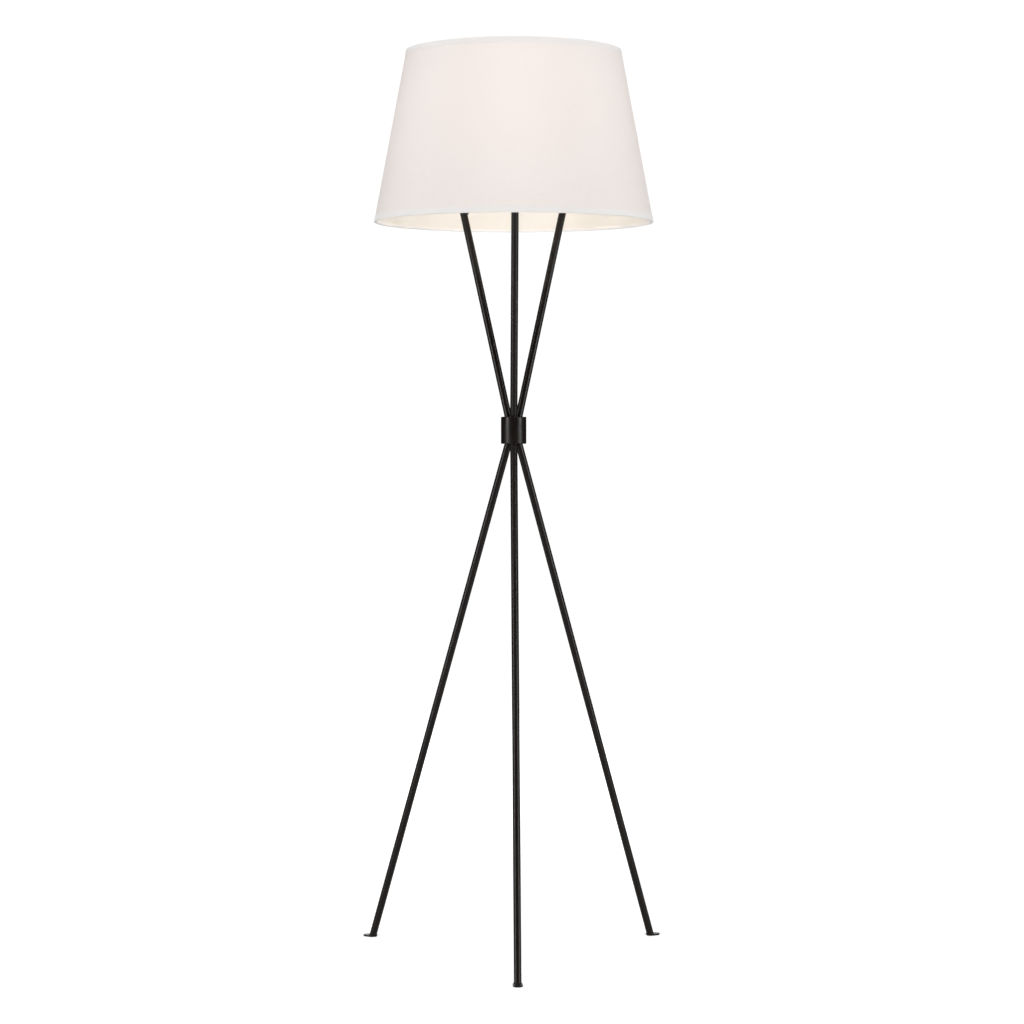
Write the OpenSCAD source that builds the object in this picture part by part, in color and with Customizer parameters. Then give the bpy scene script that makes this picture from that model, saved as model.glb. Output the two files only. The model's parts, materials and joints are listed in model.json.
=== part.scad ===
// Tripod floor lamp with a drum shade.
// Three straight legs splay down from a small drum hub and three arms flare up from it,
// each arm above a leg. The arms carry a three-armed yoke with the lamp socket, a harp
// and a tapered fabric shade. Every rod is a steel tube joined by hollow nipples, so
// that a supply lead can run inside from the foot of the left leg to the socket.
//
// Millimetres. +Z is up. The origin is on the lamp's axis at floor level. The front leg
// points along -Y, the right one to 30 degrees and the left one to 150 degrees.

/* [Overall] */
// Height from the floor to the top rim of the shade
lamp_h = 1560; // [1300:5:1900]
// Height of the middle of the hub above the floor
hub_mid_z = 907; // [740:1:1100]
// Distance from the lamp's axis to a leg's axis at floor level
foot_circle_r = 288; // [200:0.5:360]

/* [Rods] */
// Outer diameter of the leg and arm tubes
rod_d = 12.7; // [11:0.1:16]
// Wall of the tubes
rod_wall = 1.4; // [1:0.1:1.8]
// Wall of the hollow nipples that join the tubes to the hub
rod_nipple_wall = 1.9; // [1:0.1:2.4]
// Length of nipple inside each tube
nipple_in_rod = 12; // [8:1:20]

/* [Hub] */
// Height of the hub
hub_h = 47; // [40:1:60]
// Metal between neighbouring rod sockets at the hub's faces
socket_web = 5.8; // [4.5:0.1:8]
// Metal outside the rod sockets, up to the hub's side
hub_rim = 4.95; // [3:0.05:9]
// Wall of the hub's outer sleeve
hub_sleeve_wall = 2; // [1.5:0.1:3]
// Chamfer on the sleeve's outer edges
hub_chamfer = 1.2; // [0.2:0.1:1.6]
// How far each end block sits below the sleeve's edge
block_inset = 0.6; // [0.2:0.1:1.5]
// Thickness of each end block
block_h = 13.5; // [12:0.5:16]
// Depth of the rod sockets, along the rod
socket_depth = 5; // [3:0.5:6]
// Diameter of the grub screws in the back of the hub
grub_d = 4; // [3:0.5:5]

/* [Feet] */
// Length of a toe plate, along the leg's direction
toe_l = 26.5; // [20:0.5:40]
// Width of a toe plate
toe_w = 17; // [14:0.5:24]
// Thickness of a toe plate
toe_t = 2; // [1.5:0.5:6]
// Distance from the leg's axis to the toe plate's middle
toe_offset = 5.9; // [0:0.1:9]
// Thickness of the rubber pad under a toe plate
pad_t = 1; // [0.75:0.25:4]
// How far the pad's edge stays inside the plate's edge
pad_inset = 0.8; // [0.2:0.1:2]

/* [Cord inlets] */
// Height of the cord inlet in the left leg
inlet_z = 60; // [30:1:200]
// Bore of the rubber grommets
grommet_bore_d = 6.4; // [5:0.1:6.8]
// Rubber between a grommet's bore and the tube
grommet_wall = 1; // [0.8:0.1:1.2]
// How far a grommet's flange covers the tube around its hole
grommet_lip = 1.1; // [0.6:0.1:1.4]
// How far a grommet stands out of the tube
grommet_proud = 1; // [0.5:0.1:2]
// How far a grommet reaches past the tube's wall, inwards
grommet_inward = 2.5; // [1.5:0.1:3]

/* [Yoke] */
// Distance from the lamp's axis to the middle of each arm's top
yoke_circle_r = 104; // [70:0.5:130]
// Thickness of the yoke plate
yoke_t = 3; // [2:0.5:5]
// Width of the yoke's arms
yoke_arm_w = 16; // [14:0.5:24]
// Diameter of the yoke's middle
yoke_disc_d = 42; // [30:1:70]
// Thread diameter of the screws that hold the yoke
yoke_screw_d = 4; // [3:0.5:5]
// Length of the yoke screws under the head
yoke_screw_l = 12; // [8:1:12]
// Head diameter of the yoke screws
yoke_screw_head_d = 7.6; // [6:0.2:10]
// Head height of the yoke screws
yoke_screw_head_h = 2.2; // [1.5:0.1:4]
// Length of the tapped plug in each arm's top
plug_l = 12; // [10:1:20]

/* [Socket] */
// Outer diameter of the threaded nipple that carries the socket
nipple_d = 9.7; // [9:0.1:10.5]
// Bore of that nipple
nipple_bore_d = 6.4; // [5:0.1:7]
// Thickness of the hexagonal lock nut
locknut_t = 3; // [2:0.5:5]
// Width of the lock nut across its flats
locknut_af = 14; // [13:0.5:18]
// Diameter of the washer above the lock nut
washer_d = 18; // [15:0.5:24]
// Thickness of that washer
washer_t = 1; // [0.8:0.1:2]
// Diameter of the lamp base's screw cap
base_d = 26.2; // [24:0.1:28]
// Height of the socket's cap
cap_h = 18; // [16:0.5:22]
// Diameter of the cap's neck
cap_neck_d = 15; // [13:0.5:18]
// Height of the cap's neck
cap_neck_h = 5; // [4:0.5:6]
// How far the cap laps over the socket's shell
cap_lap = 4; // [2:0.5:6]
// Thickness of the socket's sheet metal
socket_sheet = 0.8; // [0.6:0.1:1]
// Thickness of the fibre insulator
insulator_t = 0.5; // [0.4:0.1:0.8]
// Height of the moulded switch body inside the socket
switch_body_h = 22; // [20:0.5:26]
// Height of the brass screw shell
screw_shell_h = 23; // [20:0.5:26]
// Diameter of the switch shaft
switch_shaft_d = 4; // [3:0.2:5]
// Diameter of the switch knob
knob_d = 11; // [8:0.5:12]
// Length of the switch knob
knob_l = 14; // [8:0.5:20]

/* [Bulb] */
// Length of the bulb over all
bulb_l = 108; // [95:1:130]
// Diameter of the bulb's globe
bulb_d = 60; // [50:1:72]
// Wall of the bulb's glass
bulb_wall = 0.8; // [0.5:0.1:1.5]

/* [Harp] */
// Height of the harp, from under its saddle to the shade's seat
harp_h = 229; // [190:1:285]
// Diameter of the harp's wire
harp_wire_d = 3.2; // [2.8:0.1:4]
// Half the distance between the harp's feet
harp_foot_x = 31; // [28:0.5:36]
// Radius of the harp's outward bend above its feet
harp_low_r = 60; // [50:1:70]
// Radius of the harp's shoulders
harp_top_r = 30; // [24:1:32]
// Thickness of the saddle strap
saddle_t = 1.6; // [1.2:0.1:3]
// Width of the saddle strap
saddle_w = 13; // [12:0.5:18]
// Height of the saddle's upturned ends
saddle_end_h = 18; // [14:0.5:22]
// Diameter of the saddle's posts and of the harp's feet
post_d = 4.5; // [4.2:0.1:5.5]
// Length of a locking ferrule
ferrule_l = 14; // [10:0.5:16]
// Wall of a locking ferrule
ferrule_wall = 1; // [0.8:0.1:1.5]
// How far a ferrule slides up to free the harp
ferrule_travel = 10; // [8:0.5:12]
// Diameter of the threaded stud on the harp
stud_d = 6.2; // [5:0.1:7]
// Length of that stud
stud_l = 12; // [8:0.5:14]
// Height of the finial
finial_h = 22; // [18:0.5:30]
// Largest diameter of the finial
finial_d = 17; // [14:0.5:22]

/* [Shade] */
// Outer diameter of the shade at its bottom rim
shade_bottom_d = 482.6; // [400:1:620]
// Outer diameter of the shade at its top rim
shade_top_d = 371; // [300:1:460]
// Height of the shade
shade_h = 295; // [240:1:360]
// Depth of the shade's seat below its top rim
shade_recess = 25; // [24:0.5:45]
// Thickness of the fabric cover
cover_t = 0.8; // [0.6:0.1:1.5]
// Thickness of the stiff liner
liner_t = 0.6; // [0.4:0.1:1.2]
// Thickness of the rim tapes
tape_t = 0.5; // [0.3:0.1:1]
// Height of the rim tapes outside
tape_h = 10; // [6:0.5:16]
// Height of the rim tapes inside
tape_in_h = 5; // [4.2:0.2:10]
// Diameter of the wire in the shade's rings and spider
ring_wire_d = 3.2; // [2.4:0.1:4]
// Diameter of the spider's washer
spider_washer_d = 25; // [20:0.5:32]
// Thickness of the spider's washer
spider_washer_t = 1.5; // [1:0.1:2.5]
// Run of the spider arms' raised ends, up to the top ring
spider_rise_run = 30; // [20:1:50]

/* [Clearances] */
// Radial clearance of a thread or a press fit
thread_fit = 0.05; // [0.02:0.01:0.1]
// Radial clearance of a piece that turns or slides
running_fit = 0.08; // [0.03:0.01:0.1]
// Gap between nested sheets and sleeves
nest_gap = 0.1; // [0.05:0.05:0.2]
// Gap between the flat faces of pieces that move apart
face_gap = 0.3; // [0.2:0.05:0.5]

/* [Hidden] */
// The legs, arms and feet are named from the front
FRONT = 270;
RIGHT = 30;
LEFT = 150;
SIDES = [FRONT, RIGHT, LEFT];
BACK = 90;

$fn = 96;
// A length that is longer than the lamp in any direction, for trimming
far = 4000;
// Overshoot of a cut past the face that it opens
cut = 1;

// Rods
rod_r = rod_d / 2;
rod_bore_r = rod_r - rod_wall;
rod_nipple_r = rod_bore_r - thread_fit;
rod_nipple_bore_r = rod_nipple_r - rod_nipple_wall;

// Hub
socket_circle_r = (rod_d + socket_web) / sqrt(3);
hub_r = socket_circle_r + rod_r + hub_rim;
hub_bore_r = hub_r - hub_sleeve_wall;
hub_low_z = hub_mid_z - hub_h / 2;
hub_top_z = hub_mid_z + hub_h / 2;
low_block_z = hub_low_z + block_inset;
top_block_z = hub_top_z - block_inset - block_h;
// How far a nipple stands into its block, past the rod's seat
nipple_in_block = block_h - socket_depth - block_inset;
grub_l = hub_rim + cut;

// Feet and legs
toe_top_z = pad_t + toe_t;
leg_lean = atan((foot_circle_r - socket_circle_r) / hub_low_z);
// Distance from the lamp's axis to a leg's axis at the height z
function leg_r(z) = socket_circle_r + (hub_low_z - z) * tan(leg_lean);
toe_r = leg_r(toe_top_z) + toe_offset;

// Yoke and arms
harp_base_z = lamp_h - shade_recess - harp_h;
yoke_z = harp_base_z - yoke_t;
arm_lean = atan((yoke_circle_r - socket_circle_r) / (yoke_z - hub_top_z));

// Grommets
grommet_bore_r = grommet_bore_d / 2;
grommet_r = grommet_bore_r + grommet_wall;
// The wired arm's hole stays one flange below its plug
arm_inlet_drop = plug_l + grommet_r + grommet_lip;

// Socket, upwards from the saddle
nipple_r = nipple_d / 2;
socket_z = harp_base_z + saddle_t;
base_r = base_d / 2;
screw_shell_r = base_r + nest_gap;
switch_body_r = screw_shell_r + insulator_t;
insulator_r = switch_body_r + nest_gap;
shell_r = insulator_r + insulator_t + nest_gap;
cap_r = shell_r + socket_sheet + nest_gap;
cap_top_r = cap_r + socket_sheet;
switch_body_z = socket_z + cap_h * 2 / 3;
switch_axis_z = switch_body_z + switch_body_h / 2;
screw_shell_z = switch_body_z + switch_body_h;
shell_z = socket_z + cap_h - cap_lap;
shell_top_z = screw_shell_z + screw_shell_h + cut;
// Thread of the nipple past the lock nut, and inside the cap past its neck
nipple_spare = 2;
nipple_rise = 1;
nipple_low_z = yoke_z - washer_t - locknut_t - nipple_spare;
nipple_top_z = socket_z + cap_neck_h + nipple_rise;
// Gap between the cap and the switch knob
knob_gap = 2;
knob_y = cap_top_r + knob_gap;
contact_h = 2;
contact_step = 1.5;
terminal_r = 2;
terminal_head_r = 3;
terminal_head_t = 1.6;
terminal_l = 5;
// Flats for the terminals: their depth, and the body left above and below them
terminal_flat = 2.4;
terminal_ledge = 4;
terminal_flat_x = switch_body_r - terminal_flat;

// Bulb
bulb_z = screw_shell_z + contact_h + face_gap;
// How far the lamp base stands out of the screw shell, and its plain rim above that
base_proud = 1;
base_rim_h = 2;
base_wall = 1;
base_collar_h = 2;
base_collar_w = 4;
bulb_neck_r = base_r + bulb_wall;
bulb_neck_z = bulb_z + screw_shell_h - contact_h + base_proud + base_rim_h;
bulb_r = bulb_d / 2;
globe_z = bulb_z + bulb_l - bulb_r;
bulb_tip_r = 4.5;
bulb_tip_h = 2;
bulb_floor_z = bulb_z + bulb_tip_h + base_collar_h + base_wall;
// The stem's flare and post, and the filament on its top
stem_r = 4;
stem_flare_h = 3;
stem_top_z = globe_z - 5;
filament_d = 2;
filament_arch_r = 9;

// Harp: two tangent bends on each side, and the radius between them meets the height
harp_low_angle = 30;
harp_shoulder_angle = 35;
wire_r = harp_wire_d / 2;
wire_swell = 0.06;
post_r = post_d / 2;
post_h = 8;
// How far a saddle's upturned end is wider than its post, on each side
saddle_ear = 1;
boss_r = 5.5;
boss_h = 8;
harp_end_h = saddle_end_h + post_h;
harp_sleeve_h = 4;
ferrule_z = saddle_end_h + face_gap;
// Straight wire left above a raised ferrule
harp_spare = 2;
harp_straight_h = ferrule_z + ferrule_l + ferrule_travel + harp_spare;
wire_top_h = harp_h - boss_h / 2;
harp_side_r = (wire_top_h - harp_straight_h - harp_low_r * sin(harp_low_angle)
    - harp_top_r * (1 - sin(harp_shoulder_angle)))
    / (sin(harp_shoulder_angle) + sin(harp_low_angle));
harp_bend_x = harp_foot_x + harp_low_r * (1 - cos(harp_low_angle));
harp_bend_h = harp_straight_h + harp_low_r * sin(harp_low_angle);
harp_side_x = harp_bend_x - harp_side_r * cos(harp_low_angle);
harp_side_h = harp_bend_h + harp_side_r * sin(harp_low_angle);
harp_top_x = harp_side_x + (harp_side_r - harp_top_r) * cos(harp_shoulder_angle);

// Shade
seat_z = harp_base_z + harp_h;
shade_z = lamp_h - shade_h;
spider_z = seat_z + face_gap;
finial_z = spider_z + spider_washer_t + face_gap;
ring_r = ring_wire_d / 2;
stud_r = stud_d / 2;
spider_wire_z = spider_z + ring_r;
liner_off = -tape_t - cover_t;
wall_off = liner_off - liner_t;
tape_off = wall_off - ring_wire_d - 2 * nest_gap;
top_ring_z = lamp_h - tape_t - ring_r;
bottom_ring_z = shade_z + tape_t + ring_r;

// Outer radius of the shade at the height z
function shade_r(z) =
    (shade_bottom_d + (shade_top_d - shade_bottom_d) * (z - shade_z) / shade_h) / 2;
// Middle radius of a ring of wire inside the liner at the height z
function ring_mid_r(z) = shade_r(z) + wall_off - nest_gap - ring_r;
// Distance from the lamp's axis to the bends of the spider's arms
spider_bend_r = ring_mid_r(top_ring_z) - spider_rise_run;

// Points on an arc about c, from angle a to angle b
function arc(c, r, a, b, n = 12) =
    [for (i = [0 : n]) c + r * [cos(a + (b - a) * i / n), sin(a + (b - a) * i / n)]];

// Places its children on a leg's axis where that meets the hub's lower face, with the
// local Z axis up the leg
module on_leg(side) {
    rotate([0, 0, side])
    translate([socket_circle_r, 0, hub_low_z])
    rotate([0, -leg_lean, 0])
    children();
}

// Places its children on an arm's axis where that meets the hub's upper face, with the
// local Z axis up the arm
module on_arm(side) {
    rotate([0, 0, side])
    translate([socket_circle_r, 0, hub_top_z])
    rotate([0, arm_lean, 0])
    children();
}

module tube(r, bore_r, h) {
    difference() {
        cylinder(r = r, h = h);
        translate([0, 0, -cut]) cylinder(r = bore_r, h = h + 2 * cut);
    }
}

// Everything above the height z
module above(z) {
    translate([-far / 2, -far / 2, z]) cube([far, far, far]);
}

// Everything below the height z
module below(z) {
    translate([-far / 2, -far / 2, z - far]) cube([far, far, far]);
}

// The plain leg, cut level where it stands on its toe plate
module leg(side) {
    color("#2b2725")
    difference() {
        on_leg(side)
        translate([0, 0, socket_depth - hub_low_z / cos(leg_lean) - toe_w])
        tube(rod_r, rod_bore_r, hub_low_z / cos(leg_lean) + toe_w);
        below(toe_top_z);
    }
}

// The plain arm, cut level where it carries the yoke
module arm(side) {
    color("#2b2725")
    difference() {
        on_arm(side)
        translate([0, 0, -socket_depth])
        tube(rod_r, rod_bore_r, (yoke_z - hub_top_z) / cos(arm_lean) + 2 * socket_depth + toe_w);
        above(yoke_z);
    }
}

// Places a grommet's axis through the left leg, square to it and facing the back
module at_cord_inlet() {
    on_leg(LEFT)
    translate([0, 0, -(hub_low_z - inlet_z) / cos(leg_lean)])
    rotate([90, 0, BACK - LEFT + 90])
    children();
}

// Places a grommet's axis through the left arm, square to it and facing the lamp's axis
module at_arm_inlet() {
    on_arm(LEFT)
    translate([0, 0, (yoke_z - hub_top_z - arm_inlet_drop) / cos(arm_lean)])
    rotate([0, -90, 0])
    children();
}

module leg_front() { leg(FRONT); }
module leg_right() { leg(RIGHT); }
module leg_left() {
    color("#2b2725")
    difference() {
        leg(LEFT);
        at_cord_inlet() cylinder(r = grommet_r, h = rod_d);
    }
}

module arm_front() { arm(FRONT); }
module arm_right() { arm(RIGHT); }
module arm_left() {
    color("#2b2725")
    difference() {
        arm(LEFT);
        at_arm_inlet() cylinder(r = grommet_r, h = rod_d);
    }
}

// A rubber grommet on the local Z axis, with a flange that follows the rod
module grommet(turn) {
    color("#141414")
    difference() {
        union() {
            difference() {
                cylinder(r = grommet_r + grommet_lip, h = rod_r + grommet_proud);
                rotate(turn) translate([0, 0, -rod_d]) cylinder(r = rod_r, h = 2 * rod_d);
            }
            translate([0, 0, rod_bore_r - grommet_inward])
            cylinder(r = grommet_r, h = rod_wall + grommet_inward + grommet_proud);
        }
        cylinder(r = grommet_bore_r, h = rod_d);
    }
}

module cord_grommet() { at_cord_inlet() grommet([-90, 0, 0]); }
module arm_grommet() { at_arm_inlet() grommet([0, 90, 0]); }

// An oblong outline with round ends, its middle on the toe plate's middle
module toe_outline(inset) {
    reach = (toe_l - toe_w) / 2;
    for (x = [-reach, reach])
        translate([toe_r + x, 0]) circle(r = toe_w / 2 - inset);
    translate([toe_r - reach, inset - toe_w / 2])
    square([2 * reach, toe_w - 2 * inset]);
}

module toe_plate(side) {
    color("#2b2725")
    rotate([0, 0, side])
    translate([0, 0, pad_t])
    linear_extrude(toe_t) toe_outline(0);
}

module foot_pad(side) {
    color("#141414")
    rotate([0, 0, side])
    linear_extrude(pad_t) toe_outline(pad_inset);
}

module toe_plate_front() { toe_plate(FRONT); }
module toe_plate_right() { toe_plate(RIGHT); }
module toe_plate_left() { toe_plate(LEFT); }
module foot_pad_front() { foot_pad(FRONT); }
module foot_pad_right() { foot_pad(RIGHT); }
module foot_pad_left() { foot_pad(LEFT); }

module leg_nipples() {
    color("#8f8a80")
    for (side = SIDES)
        on_leg(side)
        translate([0, 0, socket_depth - nipple_in_rod])
        tube(rod_nipple_r, rod_nipple_bore_r, nipple_in_rod + nipple_in_block);
}

module arm_nipples() {
    color("#8f8a80")
    for (side = SIDES)
        on_arm(side)
        translate([0, 0, -socket_depth - nipple_in_block])
        tube(rod_nipple_r, rod_nipple_bore_r, nipple_in_rod + nipple_in_block);
}

// Sleeve of the hub, chamfered outside at both ends
module hub_sleeve() {
    color("#2b2725")
    difference() {
        rotate_extrude()
        polygon([
            [hub_bore_r, hub_low_z],
            [hub_r - hub_chamfer, hub_low_z],
            [hub_r, hub_low_z + hub_chamfer],
            [hub_r, hub_top_z - hub_chamfer],
            [hub_r - hub_chamfer, hub_top_z],
            [hub_bore_r, hub_top_z]
        ]);
        grub_holes();
    }
}

// The two radial holes in the back of the hub, one into each block
module grub_holes() {
    for (z = [low_block_z, top_block_z])
        rotate([0, 0, BACK])
        translate([hub_bore_r - hub_rim, 0, z + block_h / 2])
        rotate([0, 90, 0])
        cylinder(d = grub_d + 2 * thread_fit, h = 2 * hub_rim + hub_sleeve_wall);
}

module hub_block(z) {
    translate([0, 0, z]) cylinder(r = hub_bore_r - thread_fit, h = block_h);
}

module hub_lower_block() {
    color("#4a4744")
    difference() {
        hub_block(low_block_z);
        for (side = SIDES)
            on_leg(side) {
                translate([0, 0, socket_depth - block_h])
                cylinder(r = rod_r + nest_gap, h = block_h);
                cylinder(r = rod_nipple_r + thread_fit, h = 2 * block_h);
            }
        grub_holes();
    }
}

module hub_upper_block() {
    color("#4a4744")
    difference() {
        hub_block(top_block_z);
        for (side = SIDES)
            on_arm(side) {
                translate([0, 0, -socket_depth])
                cylinder(r = rod_r + nest_gap, h = block_h);
                translate([0, 0, -2 * block_h])
                cylinder(r = rod_nipple_r + thread_fit, h = 2 * block_h);
            }
        grub_holes();
    }
}

module hub_grub_screws() {
    hex_r = grub_d / 4;
    color("#3a3735")
    for (z = [low_block_z, top_block_z])
        rotate([0, 0, BACK])
        translate([hub_r - cut - grub_l, 0, z + block_h / 2])
        rotate([0, 90, 0])
        difference() {
            cylinder(d = grub_d, h = grub_l);
            translate([0, 0, grub_l / 2]) cylinder(r = hex_r, h = grub_l, $fn = 6);
        }
}

// Tapped plugs in the arms' tops, level with the arms
module arm_plugs() {
    color("#8f8a80")
    for (side = SIDES)
        difference() {
            on_arm(side)
            translate([0, 0, (yoke_z - hub_top_z - plug_l) / cos(arm_lean)])
            cylinder(r = rod_bore_r - thread_fit, h = 2 * plug_l);
            above(yoke_z);
            rotate([0, 0, side])
            translate([yoke_circle_r, 0, yoke_z - plug_l - cut])
            cylinder(d = yoke_screw_d + 2 * thread_fit, h = plug_l + 2 * cut);
        }
}

// Flat plate with a round middle and three arms with round ends
module yoke() {
    color("#2b2725")
    translate([0, 0, yoke_z])
    linear_extrude(yoke_t)
    difference() {
        union() {
            circle(d = yoke_disc_d);
            for (side = SIDES)
                rotate([0, 0, side]) {
                    translate([0, -yoke_arm_w / 2]) square([yoke_circle_r, yoke_arm_w]);
                    translate([yoke_circle_r, 0]) circle(d = yoke_arm_w);
                }
        }
        circle(r = nipple_r + nest_gap);
        for (side = SIDES)
            rotate([0, 0, side])
            translate([yoke_circle_r, 0]) circle(d = yoke_screw_d + 4 * nest_gap);
    }
}

// Button-head screws, with a hexagonal recess
module yoke_screws() {
    head_r = yoke_screw_head_d / 2;
    recess_r = yoke_screw_d / 3;
    color("#3a3735")
    for (side = SIDES)
        rotate([0, 0, side])
        translate([yoke_circle_r, 0, yoke_z + yoke_t]) {
            translate([0, 0, -yoke_screw_l])
            cylinder(d = yoke_screw_d, h = yoke_screw_l);
            difference() {
                rotate_extrude()
                polygon(concat(
                    [[0, 0], [head_r, 0]],
                    arc([head_r - yoke_screw_head_h, 0], yoke_screw_head_h, 0, 90),
                    [[0, yoke_screw_head_h]]
                ));
                translate([0, 0, yoke_screw_head_h / 2])
                cylinder(r = recess_r, h = yoke_screw_head_h, $fn = 6);
            }
        }
}

module socket_nipple() {
    color("#8f8a80")
    translate([0, 0, nipple_low_z])
    tube(nipple_r, nipple_bore_d / 2, nipple_top_z - nipple_low_z);
}

module nipple_washer() {
    color("#8f8a80")
    translate([0, 0, yoke_z - washer_t])
    tube(washer_d / 2, nipple_r + nest_gap, washer_t);
}

module nipple_locknut() {
    color("#8f8a80")
    translate([0, 0, yoke_z - washer_t - locknut_t])
    difference() {
        cylinder(d = locknut_af / cos(30), h = locknut_t, $fn = 6);
        translate([0, 0, -cut]) cylinder(r = nipple_r + thread_fit, h = locknut_t + 2 * cut);
    }
}

// Strap with upturned ends, each with a round post for the harp's foot
module harp_saddle() {
    color("#b08d4a")
    translate([0, 0, harp_base_z])
    difference() {
        union() {
            translate([-harp_foot_x - post_r, -saddle_w / 2, 0])
            cube([2 * harp_foot_x + post_d, saddle_w, saddle_t]);
            for (x = [-harp_foot_x, harp_foot_x]) {
                translate([x - post_r, -post_r - saddle_ear, 0])
                cube([post_d, post_d + 2 * saddle_ear, saddle_end_h]);
                translate([x, 0, saddle_end_h]) cylinder(r = post_r, h = post_h);
            }
        }
        translate([0, 0, -cut]) cylinder(r = nipple_r + nest_gap, h = saddle_t + 2 * cut);
    }
}

// A bend of the harp's wire in the XZ plane: centre (x, h), radius r, from angle a to b
module wire_bend(x, h, r, a, b) {
    translate([x, 0, h])
    rotate([90, 0, 0])
    rotate([0, 0, a])
    rotate_extrude(angle = b - a)
    translate([r, 0]) circle(r = wire_r);
}

// The right half of the harp's wire, from its foot to the boss, with a slight swell
// where each stretch runs into the next
module harp_half() {
    shoulder = [
        harp_side_x + harp_side_r * cos(harp_shoulder_angle),
        harp_side_h + harp_side_r * sin(harp_shoulder_angle)
    ];
    for (p = [
        [harp_foot_x, harp_straight_h],
        [harp_bend_x, harp_bend_h],
        shoulder,
        [harp_top_x, wire_top_h]
    ])
        translate([p[0], 0, p[1]]) sphere(r = wire_r + wire_swell);
    translate([harp_foot_x, 0, harp_end_h]) cylinder(r = post_r, h = harp_sleeve_h);
    translate([harp_foot_x, 0, harp_end_h])
    cylinder(r = wire_r, h = harp_straight_h - harp_end_h);
    wire_bend(harp_foot_x + harp_low_r, harp_straight_h, harp_low_r, 180 - harp_low_angle, 180);
    wire_bend(harp_side_x, harp_side_h, harp_side_r, -harp_low_angle, harp_shoulder_angle);
    wire_bend(harp_top_x, wire_top_h - harp_top_r, harp_top_r, harp_shoulder_angle, 90);
    translate([0, 0, wire_top_h]) rotate([0, 90, 0]) cylinder(r = wire_r, h = harp_top_x);
}

module harp_wire() {
    color("#b08d4a")
    translate([0, 0, harp_base_z]) {
        harp_half();
        mirror([1, 0, 0]) harp_half();
    }
}

module harp_boss() {
    color("#b08d4a")
    translate([0, 0, seat_z - boss_h])
    difference() {
        cylinder(r = boss_r, h = boss_h);
        translate([-2 * boss_r, 0, boss_h / 2])
        rotate([0, 90, 0])
        cylinder(r = wire_r, h = 4 * boss_r);
    }
}

module harp_stud() {
    color("#b08d4a")
    translate([0, 0, seat_z]) cylinder(r = stud_r, h = stud_l);
}

// A collar that locks a foot of the harp on its post
module ferrule(x) {
    bore_r = post_r + running_fit;
    color("#b08d4a")
    translate([x, 0, harp_base_z + ferrule_z])
    tube(bore_r + ferrule_wall, bore_r, ferrule_l);
}

module ferrule_left() { ferrule(-harp_foot_x); }
module ferrule_right() { ferrule(harp_foot_x); }

// Turned finial: a flared foot, a neck and a ball
module finial() {
    ball_r = finial_d / 2;
    foot_r = ball_r * 0.8;
    neck_r = stud_r + 1.2;
    foot_h = 3;
    ball_h = finial_h - ball_r;
    neck_angle = -acos(neck_r / ball_r);
    color("#2b2725")
    translate([0, 0, finial_z])
    difference() {
        rotate_extrude()
        polygon(concat(
            [[0, 0], [foot_r, 0], [foot_r, foot_h / 2], [neck_r, foot_h]],
            arc([0, ball_h], ball_r, neck_angle, 90, 24)
        ));
        translate([0, 0, -cut])
        cylinder(r = stud_r + running_fit, h = seat_z + stud_l + 2 * cut - finial_z);
    }
}

// Quarter of an oval that opens the cap from its neck to its straight skirt
function cap_dome(neck_r, rim_r, low_h) =
    let (dome_h = cap_h - cap_lap)
    [for (a = [0 : 7.5 : 90]) [
        neck_r + (rim_r - neck_r) * sin(a),
        dome_h - (dome_h - low_h) * cos(a)
    ]];

module socket_cap() {
    neck_r = cap_neck_d / 2;
    thread_r = nipple_r + thread_fit;
    outer = cap_dome(neck_r, cap_top_r, cap_neck_h);
    inner = cap_dome(thread_r, cap_r, cap_neck_h + socket_sheet);
    last = len(inner) - 1;
    color("#2a2a2a")
    translate([0, 0, socket_z])
    rotate_extrude()
    polygon(concat(
        [[thread_r, 0], [neck_r, 0]],
        outer,
        [[cap_top_r, cap_h], [cap_r, cap_h]],
        [for (i = [last : -1 : 0]) inner[i]]
    ));
}

// The opening for the switch shaft in the side of a sleeve
module switch_hole(r) {
    translate([0, 0, switch_axis_z])
    rotate([90, 0, 0])
    cylinder(r = r, h = 2 * cap_top_r);
}

module socket_shell() {
    color("#2a2a2a")
    difference() {
        translate([0, 0, shell_z]) tube(shell_r + socket_sheet, shell_r, shell_top_z - shell_z);
        switch_hole(switch_shaft_d / 2 + cut);
    }
}

module socket_insulator() {
    color("#c9b48a")
    difference() {
        translate([0, 0, shell_z])
        tube(insulator_r + insulator_t, insulator_r, shell_top_z - cut - shell_z);
        switch_hole(switch_shaft_d / 2 + cut);
    }
}

// Moulded body with a bore for the switch and a flat on each side for a terminal
module switch_body() {
    color("#1d1d1d")
    difference() {
        translate([0, 0, switch_body_z]) cylinder(r = switch_body_r, h = switch_body_h);
        translate([0, cut, 0]) switch_hole(switch_shaft_d / 2 + running_fit);
        for (turn = [0, 180])
            rotate([0, 0, turn]) {
                translate([terminal_flat_x, -switch_body_r, switch_body_z + terminal_ledge])
                cube([switch_body_r, 2 * switch_body_r, switch_body_h - 2 * terminal_ledge]);
                translate([terminal_flat_x - terminal_l - cut, 0, switch_axis_z])
                rotate([0, 90, 0])
                cylinder(r = terminal_r + thread_fit, h = switch_body_r);
            }
    }
}

module terminal_screws() {
    color("#c8a24a")
    for (turn = [0, 180])
        rotate([0, 0, turn])
        translate([terminal_flat_x, 0, switch_axis_z])
        rotate([0, 90, 0]) {
            translate([0, 0, -terminal_l]) cylinder(r = terminal_r, h = terminal_l);
            cylinder(r = terminal_head_r, h = terminal_head_t);
        }
}

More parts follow.
